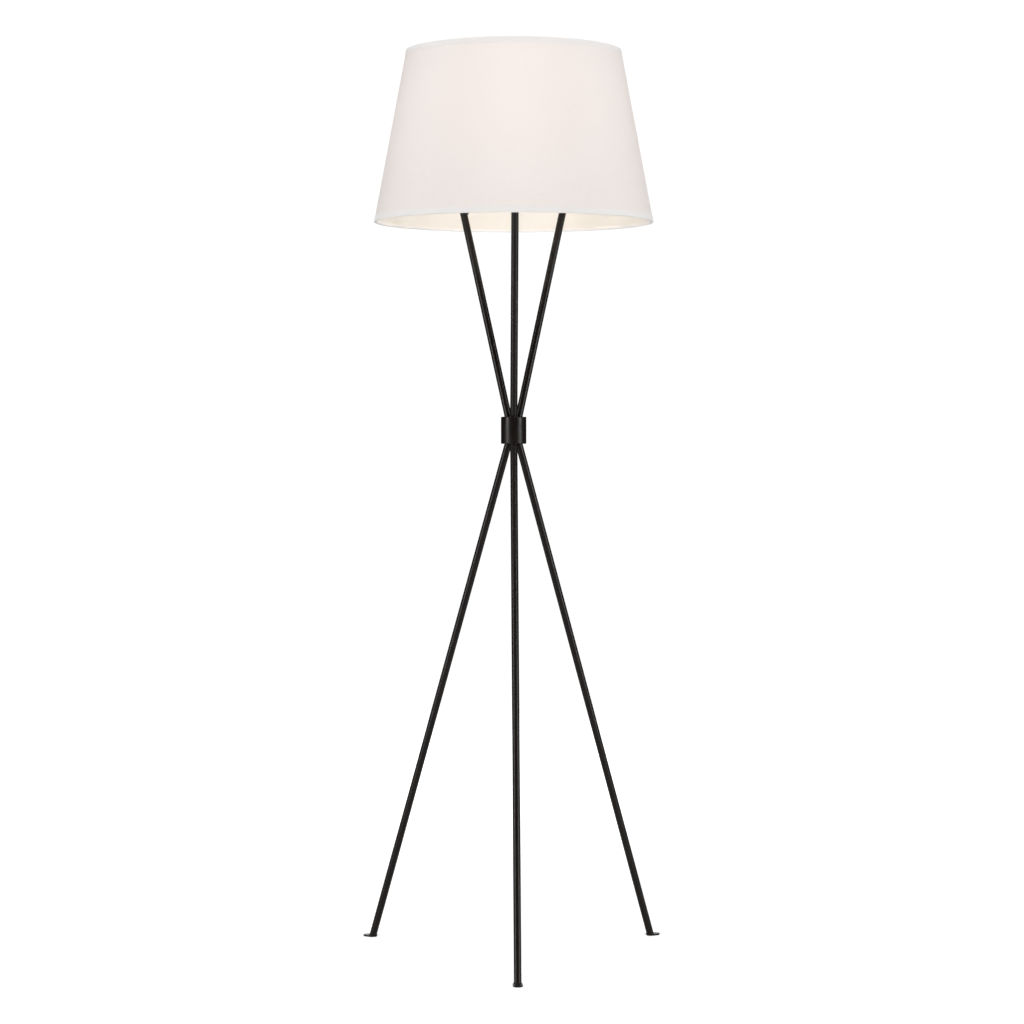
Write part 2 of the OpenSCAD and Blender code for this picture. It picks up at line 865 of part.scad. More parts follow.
// Brass cup that takes the lamp base, open at the top
module screw_shell() {
    color("#c8a24a")
    translate([0, 0, screw_shell_z])
    difference() {
        cylinder(r = switch_body_r, h = screw_shell_h);
        translate([0, 0, insulator_t]) cylinder(r = screw_shell_r, h = screw_shell_h);
        translate([0, 0, -cut]) cylinder(r = 2 * bulb_tip_r, h = screw_shell_h);
    }
}

// Tongue under the lamp base's tip
module centre_contact() {
    color("#c8a24a")
    translate([0, 0, screw_shell_z]) {
        cylinder(r = bulb_tip_r + contact_step, h = contact_h / 2);
        cylinder(r = bulb_tip_r - contact_step, h = contact_h);
    }
}

module switch_shaft() {
    color("#b0b0b0")
    translate([0, 0, switch_axis_z])
    rotate([90, 0, 0])
    cylinder(d = switch_shaft_d, h = knob_y + knob_l / 2);
}

// Fluted knob on the shaft
module switch_knob() {
    flutes = 10;
    flute_r = 1.2;
    flute_depth = 0.6;
    collar_h = 2;
    color("#1d1d1d")
    translate([0, -knob_y, switch_axis_z])
    rotate([90, 0, 0])
    difference() {
        cylinder(d = knob_d, h = knob_l);
        translate([0, 0, -cut]) cylinder(d = switch_shaft_d, h = knob_l / 2 + cut);
        for (i = [0 : flutes - 1])
            rotate([0, 0, i * 360 / flutes])
            translate([knob_d / 2 + flute_r - flute_depth, 0, collar_h])
            cylinder(r = flute_r, h = knob_l, $fn = 24);
    }
}

// Pear-shaped side of the bulb at an inset: a neck, an easing curve and the globe
function bulb_side(inset) =
    let (
        join = -50,
        join_r = (bulb_r - inset) * cos(join),
        join_z = globe_z + (bulb_r - inset) * sin(join),
        rise = join_z - bulb_neck_z,
        steps = 10,
        even = 0.35
    )
    concat(
        [for (i = [0 : steps - 1]) let (t = i / steps, s = t * t * (3 - 2 * t)) [
            bulb_neck_r - inset + (join_r - bulb_neck_r + inset) * (even * t + (1 - even) * s),
            bulb_neck_z + rise * t
        ]],
        arc([0, globe_z], bulb_r - inset, join, 90, 24)
    );

module bulb_glass() {
    outer = bulb_side(0);
    inner = bulb_side(bulb_wall);
    last = len(inner) - 1;
    color("#f6f1e6")
    rotate_extrude()
    polygon(concat(outer, [for (i = [last : -1 : 0]) inner[i]]));
}

module bulb_base() {
    color("#c9c9c4")
    difference() {
        union() {
            translate([0, 0, bulb_z + bulb_tip_h])
            cylinder(r = bulb_tip_r + base_collar_w, h = base_collar_h);
            translate([0, 0, bulb_floor_z - base_wall])
            cylinder(r = base_r, h = bulb_neck_z - bulb_floor_z + base_wall);
        }
        translate([0, 0, bulb_floor_z]) cylinder(r = base_r - base_wall, h = far);
        translate([0, 0, bulb_z]) cylinder(r = bulb_tip_r, h = far);
    }
}

module bulb_contact() {
    color("#8f8a80")
    translate([0, 0, bulb_z]) cylinder(r = bulb_tip_r - thread_fit, h = bulb_floor_z - bulb_z);
}

// Glass mount inside the bulb
module bulb_stem() {
    color("#e8eef0")
    translate([0, 0, bulb_floor_z]) {
        cylinder(r = base_r - 2 * base_wall, h = stem_flare_h);
        cylinder(r = stem_r, h = stem_top_z - bulb_floor_z);
    }
}

// Arched filament on the top of the stem
module bulb_filament() {
    wire = filament_d / 2;
    color("#ffb347")
    translate([0, 0, stem_top_z + filament_d])
    rotate([90, 0, 0])
    rotate_extrude(angle = 180)
    translate([filament_arch_r, 0]) circle(r = wire);
    color("#ffb347")
    translate([-filament_arch_r - wire, -wire, stem_top_z])
    cube([2 * filament_arch_r + filament_d, filament_d, filament_d]);
}

// A conical skin of the shade: radial offsets from the outer face, between two heights
module shade_skin(off_out, off_in, z_low, z_high) {
    rotate_extrude($fn = 180)
    polygon([
        [shade_r(z_low) + off_in, z_low],
        [shade_r(z_low) + off_out, z_low],
        [shade_r(z_high) + off_out, z_high],
        [shade_r(z_high) + off_in, z_high]
    ]);
}

module shade_cover() {
    color("#f2efe9")
    shade_skin(-tape_t, liner_off, shade_z + tape_t, lamp_h - tape_t);
}

module shade_liner() {
    color("#fbfaf6")
    shade_skin(liner_off, wall_off, shade_z + tape_t, lamp_h - tape_t);
}

// A folded tape round a rim: outside leaf, edge and inside leaf. dir is 1 at the bottom
// rim, where the leaves rise, and -1 at the top rim
module rim_tape(z, dir) {
    function at(off, rise) = [shade_r(z + dir * rise) + off, z + dir * rise];
    color("#efeeea")
    rotate_extrude($fn = 180)
    polygon([
        at(0, 0), at(0, tape_h), at(-tape_t, tape_h), at(-tape_t, tape_t),
        at(tape_off, tape_t), at(tape_off, tape_in_h), at(tape_off - tape_t, tape_in_h),
        at(tape_off - tape_t, 0)
    ]);
}

// The top tape is notched where the spider's arms reach the ring
module shade_top_tape() {
    color("#efeeea")
    difference() {
        rim_tape(lamp_h, -1);
        for (side = SIDES) spider_rise(side, ring_r + nest_gap);
    }
}
module shade_bottom_tape() { rim_tape(shade_z, 1); }

module wire_ring(z) {
    color("#3a3735")
    translate([0, 0, z])
    rotate_extrude($fn = 180)
    translate([ring_mid_r(z), 0]) circle(r = ring_r, $fn = 32);
}

module shade_top_ring() { wire_ring(top_ring_z); }
module shade_bottom_ring() { wire_ring(bottom_ring_z); }

module spider_washer() {
    color("#3a3735")
    translate([0, 0, spider_z])
    tube(spider_washer_d / 2, stud_r + running_fit, spider_washer_t);
}

// A round bar from one point to another in the XZ plane
module bar(a, b, r) {
    run = b - a;
    translate([a[0], 0, a[1]])
    rotate([0, atan2(run[0], run[1]), 0])
    cylinder(r = r, h = norm(run));
}

// The raised end of a spider arm, up to the middle of the top ring
module spider_rise(side, r) {
    rotate([0, 0, side])
    bar([spider_bend_r, spider_wire_z], [ring_mid_r(top_ring_z), top_ring_z], r);
}

// A wire from the washer's rim to the top ring, level and then rising
module spider_arm(side) {
    color("#3a3735")
    difference() {
        union() {
            rotate([0, 0, side]) {
                bar([spider_washer_d / 2, spider_wire_z], [spider_bend_r, spider_wire_z], ring_r);
                translate([spider_bend_r, 0, spider_wire_z]) sphere(r = ring_r);
            }
            spider_rise(side, ring_r);
        }
        wire_ring(top_ring_z);
    }
}

module spider_arm_front() { spider_arm(FRONT); }
module spider_arm_right() { spider_arm(RIGHT); }
module spider_arm_left() { spider_arm(LEFT); }

leg_front();
leg_right();
leg_left();
toe_plate_front();
toe_plate_right();
toe_plate_left();
foot_pad_front();
foot_pad_right();
foot_pad_left();
leg_nipples();
cord_grommet();
hub_sleeve();
hub_lower_block();
hub_upper_block();
hub_grub_screws();
arm_front();
arm_right();
arm_left();
arm_nipples();
arm_plugs();
arm_grommet();
yoke();
yoke_screws();
socket_nipple();
nipple_washer();
nipple_locknut();
harp_saddle();
harp_wire();
harp_boss();
harp_stud();
ferrule_left();
ferrule_right();
finial();
socket_cap();
socket_shell();
socket_insulator();
switch_body();
screw_shell();
centre_contact();
terminal_screws();
switch_shaft();
switch_knob();
bulb_glass();
bulb_base();
bulb_contact();
bulb_stem();
bulb_filament();
shade_cover();
shade_liner();
shade_top_tape();
shade_bottom_tape();
shade_top_ring();
shade_bottom_ring();
spider_washer();
spider_arm_front();
spider_arm_right();
spider_arm_left();
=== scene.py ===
"""Tripod floor lamp with a tapered linen shade: new meshes, finishes, light and camera.

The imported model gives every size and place. The pieces that need a softer or finer
shape than a plain solid are made here as numpy surfaces, and every piece, new or
carried over, is dressed in a procedural finish. Metres, +Z up, lamp axis on Z.
"""
import json
import logging
import math
from dataclasses import dataclass, field
from enum import Enum
from typing import Any, Mapping, Optional, Sequence, Union

import bpy
import numpy as np
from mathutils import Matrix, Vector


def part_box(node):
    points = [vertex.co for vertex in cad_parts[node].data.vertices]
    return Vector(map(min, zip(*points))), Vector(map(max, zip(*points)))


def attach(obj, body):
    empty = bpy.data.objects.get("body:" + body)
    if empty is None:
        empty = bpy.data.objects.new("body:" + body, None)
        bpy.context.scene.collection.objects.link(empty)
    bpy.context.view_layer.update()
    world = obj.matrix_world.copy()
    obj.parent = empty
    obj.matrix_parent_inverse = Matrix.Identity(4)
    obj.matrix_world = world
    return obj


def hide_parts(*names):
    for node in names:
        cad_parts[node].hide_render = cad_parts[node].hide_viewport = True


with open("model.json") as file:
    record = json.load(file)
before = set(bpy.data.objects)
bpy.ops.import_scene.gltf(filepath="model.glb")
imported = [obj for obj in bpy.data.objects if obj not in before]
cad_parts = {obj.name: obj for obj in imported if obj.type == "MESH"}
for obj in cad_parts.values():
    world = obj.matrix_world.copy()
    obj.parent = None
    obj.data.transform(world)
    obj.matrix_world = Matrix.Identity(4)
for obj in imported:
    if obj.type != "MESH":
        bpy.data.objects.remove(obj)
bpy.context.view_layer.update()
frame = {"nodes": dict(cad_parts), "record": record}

LOG = logging.getLogger("lamp")
Number = Union[int, float]
Pair = tuple[float, float]
Triple = tuple[float, float, float]
Colour = Point = Triple
Waves = Sequence[tuple[int, float, float]]
SIDES = {side: math.radians(a) for side, a in (("front", 270), ("right", 30), ("left", 150))}
BACK = math.radians(90)
MM = 0.001
CREASE = math.radians(40)  # a corner sharper than this stays sharp in the shading
CLOTH_BUMP = 0.7  # how strongly a weave's relief shows


# --------------------------------------------------------------------------- meshes


class Loop(Enum):
    """Which directions of a grid of points close on themselves."""

    NONE = (False, False)
    COLUMNS = (False, True)
    BOTH = (True, True)


@dataclass
class Surface:
    """A grid of points, given as an array of rows x columns x 3, that becomes a mesh."""

    points: np.ndarray
    loop: Loop = Loop.BOTH
    uv: Optional[np.ndarray] = None
    cap_ends: bool = False
    flip: bool = False

    def corners(self) -> tuple[np.ndarray, np.ndarray]:
        """Works out the quads: quad (i, j) joins rows i, i+1 and columns j, j+1.

        Returns:
            The corner points' numbers, quads x 4, and each corner's place in the
            unwrapped grid, quads x 4 x 2.
        """
        rows, cols = self.points.shape[:2]
        wrap_rows, wrap_cols = self.loop.value
        i = np.arange(rows if wrap_rows else rows - 1)
        j = np.arange(cols if wrap_cols else cols - 1)
        i, j = (a.ravel() for a in np.meshgrid(i, j, indexing="ij"))
        grid = np.stack(
            [np.stack([i, j], 1), np.stack([i, j + 1], 1),
             np.stack([i + 1, j + 1], 1), np.stack([i + 1, j], 1)], 1)
        if self.flip:
            grid = grid[:, ::-1]
        ids = (grid[..., 0] % rows) * cols + grid[..., 1] % cols
        return ids, grid

    def build(self, name: str, smooth: bool = True) -> bpy.types.Object:
        """Makes the mesh object at the origin.

        Args:
            name: The piece's name.
            smooth: Whether faces shade smoothly, with creases kept sharp.

        Returns:
            The new object, linked to the scene.
        """
        ids, grid = self.corners()
        rows, cols = self.points.shape[:2]
        loops, totals = ids.ravel(), np.full(len(ids), 4)
        if self.cap_ends:
            first, last = np.arange(cols), np.arange(cols) + (rows - 1) * cols
            ends = [first, last[::-1]] if self.flip else [first[::-1], last]
            loops = np.concatenate([loops, *ends])
            totals = np.concatenate([totals, [cols, cols]])
        mesh = bpy.data.meshes.new(name)
        mesh.vertices.add(rows * cols)
        mesh.vertices.foreach_set("co", self.points.astype(np.float32).ravel())
        mesh.loops.add(len(loops))
        mesh.loops.foreach_set("vertex_index", loops.astype(np.int32))
        mesh.polygons.add(len(totals))
        starts = np.concatenate([[0], np.cumsum(totals)[:-1]])
        mesh.polygons.foreach_set("loop_start", starts.astype(np.int32))
        mesh.polygons.foreach_set("loop_total", totals.astype(np.int32))
        mesh.update(calc_edges=True)
        if self.uv is not None:
            layer = mesh.uv_layers.new(name="cloth")
            flat = np.zeros((len(loops), 2), np.float32)
            flat[: ids.size] = self.uv[grid[..., 0], grid[..., 1]].reshape(-1, 2)
            layer.data.foreach_set("uv", flat.ravel())
        if smooth:
            mesh.polygons.foreach_set("use_smooth", np.ones(len(totals), bool))
            mesh.set_sharp_from_angle(angle=CREASE)
        mesh.validate()
        piece = bpy.data.objects.new(name, mesh)
        bpy.context.scene.collection.objects.link(piece)
        return piece


def around(count: int) -> np.ndarray:
    """Azimuths of a number of places evenly round a full turn, from 0."""
    return np.linspace(0, 2 * math.pi, count, endpoint=False)


def spun(points: np.ndarray, azimuth: float) -> np.ndarray:
    """Points made along +X, turned about Z to an azimuth."""
    c, s = math.cos(azimuth), math.sin(azimuth)
    return points @ np.array([[c, s, 0], [-s, c, 0], [0, 0, 1]])


def turned(radius: np.ndarray, height: np.ndarray, angle: np.ndarray) -> np.ndarray:
    """A profile turned about Z: x = r cos a, y = r sin a, z = h.

    Args:
        radius: Radii, rows x columns or rows x 1.
        height: Heights, the same way.
        angle: Azimuth of each column.

    Returns:
        Points, rows x columns x 3.
    """
    radius, height, angle = np.broadcast_arrays(radius, height, angle[None, :])
    return np.stack([radius * np.cos(angle), radius * np.sin(angle), height], -1)


def rounded_loop(outline: Sequence[Triple], steps: int = 6) -> np.ndarray:
    """A closed outline with each corner replaced by a round of its own radius.

    The round touches both sides at r / tan(half the corner's angle) from the corner,
    and two more points just outside it keep the flats flat in the shading.

    Args:
        outline: (x, y, corner radius) in order round the outline.
        steps: Faces across each round.

    Returns:
        Points of the outline, n x 2.
    """
    corners = np.array(outline, float)
    apart, room_share = 0.25, 0.4  # the extra points' distance: of the radius, of the free flat
    out = []
    for k, (x, y, r) in enumerate(corners):
        here = np.array([x, y])
        back = corners[k - 1][:2] - here
        ahead = corners[(k + 1) % len(corners)][:2] - here
        room = [np.linalg.norm(back), np.linalg.norm(ahead)]
        back, ahead = back / room[0], ahead / room[1]
        half = math.acos(np.clip(back @ ahead, -1, 1)) / 2
        cut = r / math.tan(half)
        spare = min(apart * r, room_share * (min(room) - cut))
        mid = back + ahead
        centre = here + mid / np.linalg.norm(mid) * r / math.sin(half)
        a, b = here + back * cut - centre, here + ahead * cut - centre
        t = np.linspace(0, 1, steps + 1)[:, None]
        sweep = math.pi - 2 * half
        arc = (np.sin((1 - t) * sweep) * a + np.sin(t * sweep) * b) / math.sin(sweep)
        out += [here + back * (cut + spare), *(centre + arc), here + ahead * (cut + spare)]
    return np.array(out)


def wavy(angle: np.ndarray, waves: Waves) -> np.ndarray:
    """A sum of waves round a ring: each adds size x sin(count x angle + phase)."""
    return sum(size * np.sin(count * angle + phase) for count, size, phase in waves)


def smooth_step(low: float, high: float, x: np.ndarray) -> np.ndarray:
    """0 below low, 1 above high, and 3 t^2 - 2 t^3 between them."""
    t = np.clip((x - low) / (high - low), 0, 1)
    return t * t * (3 - 2 * t)


# --------------------------------------------------------------------------- shaders


class Sock:
    """A node's output, with arithmetic that adds the Math nodes for an expression."""

    def __init__(self, graph: "Graph", socket: bpy.types.NodeSocket) -> None:
        """Keeps the graph and the output socket."""
        self.graph, self.socket = graph, socket

    def math(self, operation: str, *values: Union["Sock", Number]) -> "Sock":
        """One Math node on the values, in order."""
        return self.graph.add("ShaderNodeMath", {"operation": operation}, dict(enumerate(values)))

    def __add__(self, other: Union["Sock", Number]) -> "Sock":
        """Sum."""
        return self.math("ADD", self, other)

    def __radd__(self, other: Number) -> "Sock":
        """Sum with a number on the left."""
        return self.math("ADD", other, self)

    def __sub__(self, other: Union["Sock", Number]) -> "Sock":
        """Difference."""
        return self.math("SUBTRACT", self, other)

    def __rsub__(self, other: Number) -> "Sock":
        """Difference from a number on the left."""
        return self.math("SUBTRACT", other, self)

    def __mul__(self, other: Union["Sock", Number]) -> "Sock":
        """Product."""
        return self.math("MULTIPLY", self, other)

    def __rmul__(self, other: Number) -> "Sock":
        """Product with a number on the left."""
        return self.math("MULTIPLY", other, self)

    def __truediv__(self, other: Union["Sock", Number]) -> "Sock":
        """Quotient."""
        return self.math("DIVIDE", self, other)

    def __rtruediv__(self, other: Number) -> "Sock":
        """Quotient of a number on the left."""
        return self.math("DIVIDE", other, self)

    def __pow__(self, other: Union["Sock", Number]) -> "Sock":
        """Power."""
        return self.math("POWER", self, other)

    def __abs__(self) -> "Sock":
        """Size without sign."""
        return self.math("ABSOLUTE", self)

    def larger(self, other: "Sock") -> "Sock":
        """The larger of two values."""
        return self.math("MAXIMUM", self, other)

    def sine(self) -> "Sock":
        """Sine, in radians."""
        return self.math("SINE", self)

    def ripple(self) -> "Sock":
        """Sine, moved to run between 0 and 1."""
        return self.sine() * 0.5 + 0.5

    def span(self, low: Number, high: Number) -> "Sock":
        """0 at low, 1 at high, smooth between them and held outside."""
        settings = {"interpolation_type": "SMOOTHSTEP"}
        inputs = {"Value": self, "From Min": low, "From Max": high}
        return self.graph.add("ShaderNodeMapRange", settings, inputs)


class Graph:
    """The node tree of one finish, filled by one add method."""

    def __init__(self, name: str) -> None:
        """Makes a material with a Principled shader wired to its output."""
        self.material = bpy.data.materials.new(name)
        self.material.use_nodes = True
        self.tree = self.material.node_tree
        self.tree.nodes.clear()
        self.shader = self.tree.nodes.new("ShaderNodeBsdfPrincipled")
        output = self.tree.nodes.new("ShaderNodeOutputMaterial")
        self.tree.links.new(self.shader.outputs[0], output.inputs["Surface"])

    def put(self, socket: bpy.types.NodeSocket, value: Any) -> None:
        """Links a Sock to an input, or sets a plain value on it.

        Args:
            socket: The input.
            value: A Sock, or a number, colour or vector.
        """
        if isinstance(value, Sock):
            self.tree.links.new(value.socket, socket)
        elif isinstance(value, tuple) and len(value) == 3 and socket.type == "RGBA":
            socket.default_value = (*value, 1.0)
        else:
            socket.default_value = value

    def add(
        self,
        kind: str,
        settings: Optional[Mapping[str, Any]] = None,
        inputs: Optional[Mapping[Union[int, str], Any]] = None,
        output: Union[int, str] = 0,
    ) -> Sock:
        """Adds a node, sets it up, then fills its inputs.

        Args:
            kind: The node's type.
            settings: Its settings by name.
            inputs: Values or Socks for its inputs, by name or number.
            output: Which output to return.

        Returns:
            The chosen output.
        """
        node = self.tree.nodes.new(kind)
        for key, value in (settings or {}).items():
            setattr(node, key, value)
        for key, value in (inputs or {}).items():
            self.put(node.inputs[key], value)
        return Sock(self, node.outputs[output])

    def place(self) -> Sock:
        """Object coordinates, in metres."""
        return self.add("ShaderNodeTexCoord", output="Object")

    def cloth(self) -> Sock:
        """The piece's own flat cloth coordinates, in metres."""
        return self.add("ShaderNodeUVMap", {"uv_map": "cloth"})

    def axes(self, vector: Sock) -> tuple[Sock, Sock, Sock]:
        """The three parts of a vector."""
        split = self.add("ShaderNodeSeparateXYZ", inputs={0: vector})
        return tuple(Sock(self, s) for s in split.socket.node.outputs)

    def joined(self, x: Any, y: Any, z: Any = 0.0) -> Sock:
        """A vector from three parts."""
        return self.add("ShaderNodeCombineXYZ", inputs={0: x, 1: y, 2: z})

    def scaled(self, vector: Sock, factors: Triple) -> Sock:
        """A vector with each part times its own factor."""
        return self.add("ShaderNodeVectorMath", {"operation": "MULTIPLY"}, {0: vector, 1: factors})

    def noise(self, vector: Sock, scale: float, detail: float = 2.0, rough: float = 0.5) -> Sock:
        """Soft noise about 0.5, with scale lumps to the metre."""
        inputs = {"Vector": vector, "Scale": scale, "Detail": detail, "Roughness": rough}
        return self.add("ShaderNodeTexNoise", inputs=inputs)

    def blend(self, factor: Any, a: Any, b: Any) -> Sock:
        """A mix of two colours: a where the factor is 0, b where it is 1."""
        return self.add("ShaderNodeMix", {"data_type": "RGBA"}, {0: factor, 6: a, 7: b}, 2)

    def bump(self, height: Any, depth: float, strength: float = 1.0) -> None:
        """Feeds a height, times depth in metres, to the shader's normal."""
        inputs = {"Height": height, "Distance": depth, "Strength": strength}
        self.put(self.shader.inputs["Normal"], self.add("ShaderNodeBump", inputs=inputs))

    def dress(self, **inputs: Any) -> bpy.types.Material:
        """Sets the shader's inputs and returns the material.

        Args:
            **inputs: The shader's inputs, with underscores for spaces.

        Returns:
            The finished material.
        """
        for key, value in inputs.items():
            self.put(self.shader.inputs[key.replace("_", " ")], value)
        return self.material


@dataclass(frozen=True)
class Mottle:
    """A patchy mask: noise of a grain in lumps to the metre, 0 below low, 1 above high."""

    grain: float
    low: float = 0.3
    high: float = 0.7
    detail: float = 3.0
    rough: float = 0.6

    def mask(self, g: Graph, at: Sock) -> Sock:
        """The mask at a place."""
        return g.noise(at, self.grain, self.detail, self.rough).span(self.low, self.high)


def between(ends: Pair, share: Sock) -> Sock:
    """The first end where the share is 0, the second where it is 1."""
    return ends[0] + (ends[1] - ends[0]) * share


@dataclass(frozen=True)
class Finish:
    """What every finish has: a name, and a material that it makes once."""

    name: str

    def nodes(self, g: Graph) -> bpy.types.Material:
        """Fills the graph; each finish has its own."""
        raise NotImplementedError

    def material(self) -> bpy.types.Material:
        """The finish's material, made at its first use."""
        made = f"{self.name}_finish"
        return bpy.data.materials.get(made) or self.nodes(Graph(made))


@dataclass(frozen=True)
class PowderCoat(Finish):
    """Dark powder coat: fine orange peel, cloudy tone, satin with duller patches."""

    dark: Colour = (0.0042, 0.0022, 0.0015)
    light: Colour = (0.0095, 0.0052, 0.0036)
    satin: Pair = (0.30, 0.40)
    shine: float = 0.36
    peel: float = 1400.0
    peel_depth: float = 0.000007
    slow_peel: float = 300.0
    clouds: Mottle = Mottle(55.0, detail=4.0)
    patches: Mottle = Mottle(18.0, rough=0.55)
    specks: Mottle = Mottle(900.0, 0.62, 0.74, 2.0, 0.5)
    speck_gain: float = 2.2
    speck_top: float = 0.85
    speck_share: float = 0.35
    speck_rough: float = 0.06

    def nodes(self, g: Graph) -> bpy.types.Material:
        """Clouds set the tone, patches the gloss, and fine lumps the orange peel.

        Args:
            g: The graph to fill.

        Returns:
            The material.
        """
        at = g.place()
        cloud, patch = self.clouds.mask(g, at), self.patches.mask(g, at)
        speck = self.specks.mask(g, at)
        pale = tuple(min(self.speck_top, self.speck_gain * c) for c in self.light)
        tone = g.blend(cloud, self.dark, self.light)
        g.bump(g.noise(at, self.peel) + 0.5 * g.noise(at, self.slow_peel), self.peel_depth)
        return g.dress(
            Base_Color=g.blend(speck * self.speck_share, tone, pale),
            Roughness=between(self.satin, patch) + self.speck_rough * speck,
            Specular_IOR_Level=self.shine,
        )


@dataclass(frozen=True)
class BareMetal(Finish):
    """Plated or bare metal: fine draw lines along one axis and cloudy tarnish."""

    bright: Colour
    dull: Colour
    satin: Pair = (0.22, 0.38)
    lines: Triple = (60.0, 60.0, 2600.0)
    line_depth: float = 0.000012
    line_rough: float = 0.08
    clouds: Mottle = Mottle(90.0, 0.35, 0.75, 4.0)
    tarnish: float = 0.6
    spots: Mottle = Mottle(420.0, 0.58, 0.72)
    spot_tarnish: float = 0.25
    spot_rough: float = 0.1

    def nodes(self, g: Graph) -> bpy.types.Material:
        """Noise stretched along the draw lines makes them; slower noise is the tarnish.

        Args:
            g: The graph to fill.

        Returns:
            The material.
        """
        at = g.place()
        drawn = g.noise(g.scaled(at, self.lines), 1.0, 3.0, 0.6)
        cloud, spot = self.clouds.mask(g, at), self.spots.mask(g, at)
        worn = self.tarnish * cloud + self.spot_tarnish * spot
        satin = between(self.satin, cloud)
        g.bump(drawn, self.line_depth)
        return g.dress(
            Base_Color=g.blend(worn, self.bright, self.dull),
            Metallic=1.0,
            Roughness=satin + self.line_rough * drawn + self.spot_rough * spot,
        )


@dataclass(frozen=True)
class Moulded(Finish):
    """Moulded rubber or plastic: a fine spark texture and faint dusting."""

    tone: Colour
    dust: Colour
    satin: Pair = (0.5, 0.7)
    grain: float = 1600.0
    grain_depth: float = 0.00004
    dusting: Mottle = Mottle(130.0, 0.45, 0.8, 4.0)
    dust_share: float = 0.5

    def nodes(self, g: Graph) -> bpy.types.Material:
        """Fine cells make the spark texture and slow noise the dust.

        Args:
            g: The graph to fill.

        Returns:
            The material.
        """
        at = g.place()
        dusty = self.dusting.mask(g, at)
        grain = g.add("ShaderNodeTexVoronoi", inputs={"Vector": at, "Scale": self.grain})
        g.bump(grain, self.grain_depth)
        return g.dress(
            Base_Color=g.blend(dusty * self.dust_share, self.tone, self.dust),
            Roughness=between(self.satin, dusty),
        )


@dataclass(frozen=True)
class Fibre(Finish):
    """Pressed fibre paper: short fibres in two tones."""

    tone: Colour = (0.60, 0.47, 0.28)
    dark: Colour = (0.42, 0.31, 0.17)
    stretch: Triple = (2200.0, 2200.0, 350.0)
    fibres: Mottle = Mottle(1.0, 0.4, 0.65, rough=0.7)
    fibre_depth: float = 0.00005

    def nodes(self, g: Graph) -> bpy.types.Material:
        """Noise stretched along Z is the fibres.

        Args:
            g: The graph to fill.

        Returns:
            The material.
        """
        fibres = self.fibres.mask(g, g.scaled(g.place(), self.stretch))
        g.bump(fibres, self.fibre_depth)
        return g.dress(Base_Color=g.blend(fibres, self.tone, self.dark), Roughness=0.8)


@dataclass(frozen=True)
class LitGlass(Finish):
    """Frosted bulb glass with the lamp on: warm, brighter round the filament."""

    tone: Colour = (0.93, 0.90, 0.84)
    warm: Colour = (1.0, 0.85, 0.69)
    edge: Colour = (0.68, 0.52, 0.38)
    centre_z: float = 1.42
    reach: float = 0.055
    glow: float = 18.0
    satin: Pair = (0.35, 0.55)
    frosting: float = 1500.0
    frost_depth: float = 0.00003

    def nodes(self, g: Graph) -> bpy.types.Material:
        """The glow falls away from the filament's height; fine noise is the frosting.

        Args:
            g: The graph to fill.

        Returns:
            The material.
        """
        at = g.place()
        fall = abs(g.axes(at)[2] - self.centre_z).span(0.0, self.reach)
        frost = g.noise(at, self.frosting, 3.0, 0.6)
        g.bump(frost, self.frost_depth)
        return g.dress(
            Base_Color=self.tone,
            Roughness=between(self.satin, frost),
            Emission_Color=g.blend(fall, self.warm, self.edge),
            Emission_Strength=self.glow,
        )


@dataclass(frozen=True)
class ClearGlass(Finish):
    """Clear glass of the bulb's mount, slightly wavy."""

    tone: Colour = (0.92, 0.96, 0.95)
    satin: Pair = (0.04, 0.14)
    waves: float = 160.0
    wave_depth: float = 0.0001
    smears: Mottle = Mottle(60.0, 0.4, 0.8, rough=0.5)

    def nodes(self, g: Graph) -> bpy.types.Material:
        """Slow noise gives the drawn waviness and slower noise the smears.

        Args:
            g: The graph to fill.

        Returns:
            The material.
        """
        at = g.place()
        g.bump(g.noise(at, self.waves), self.wave_depth)
        return g.dress(
            Base_Color=self.tone,
            Roughness=between(self.satin, self.smears.mask(g, at)),
            Transmission_Weight=0.9,
            IOR=1.5,
        )


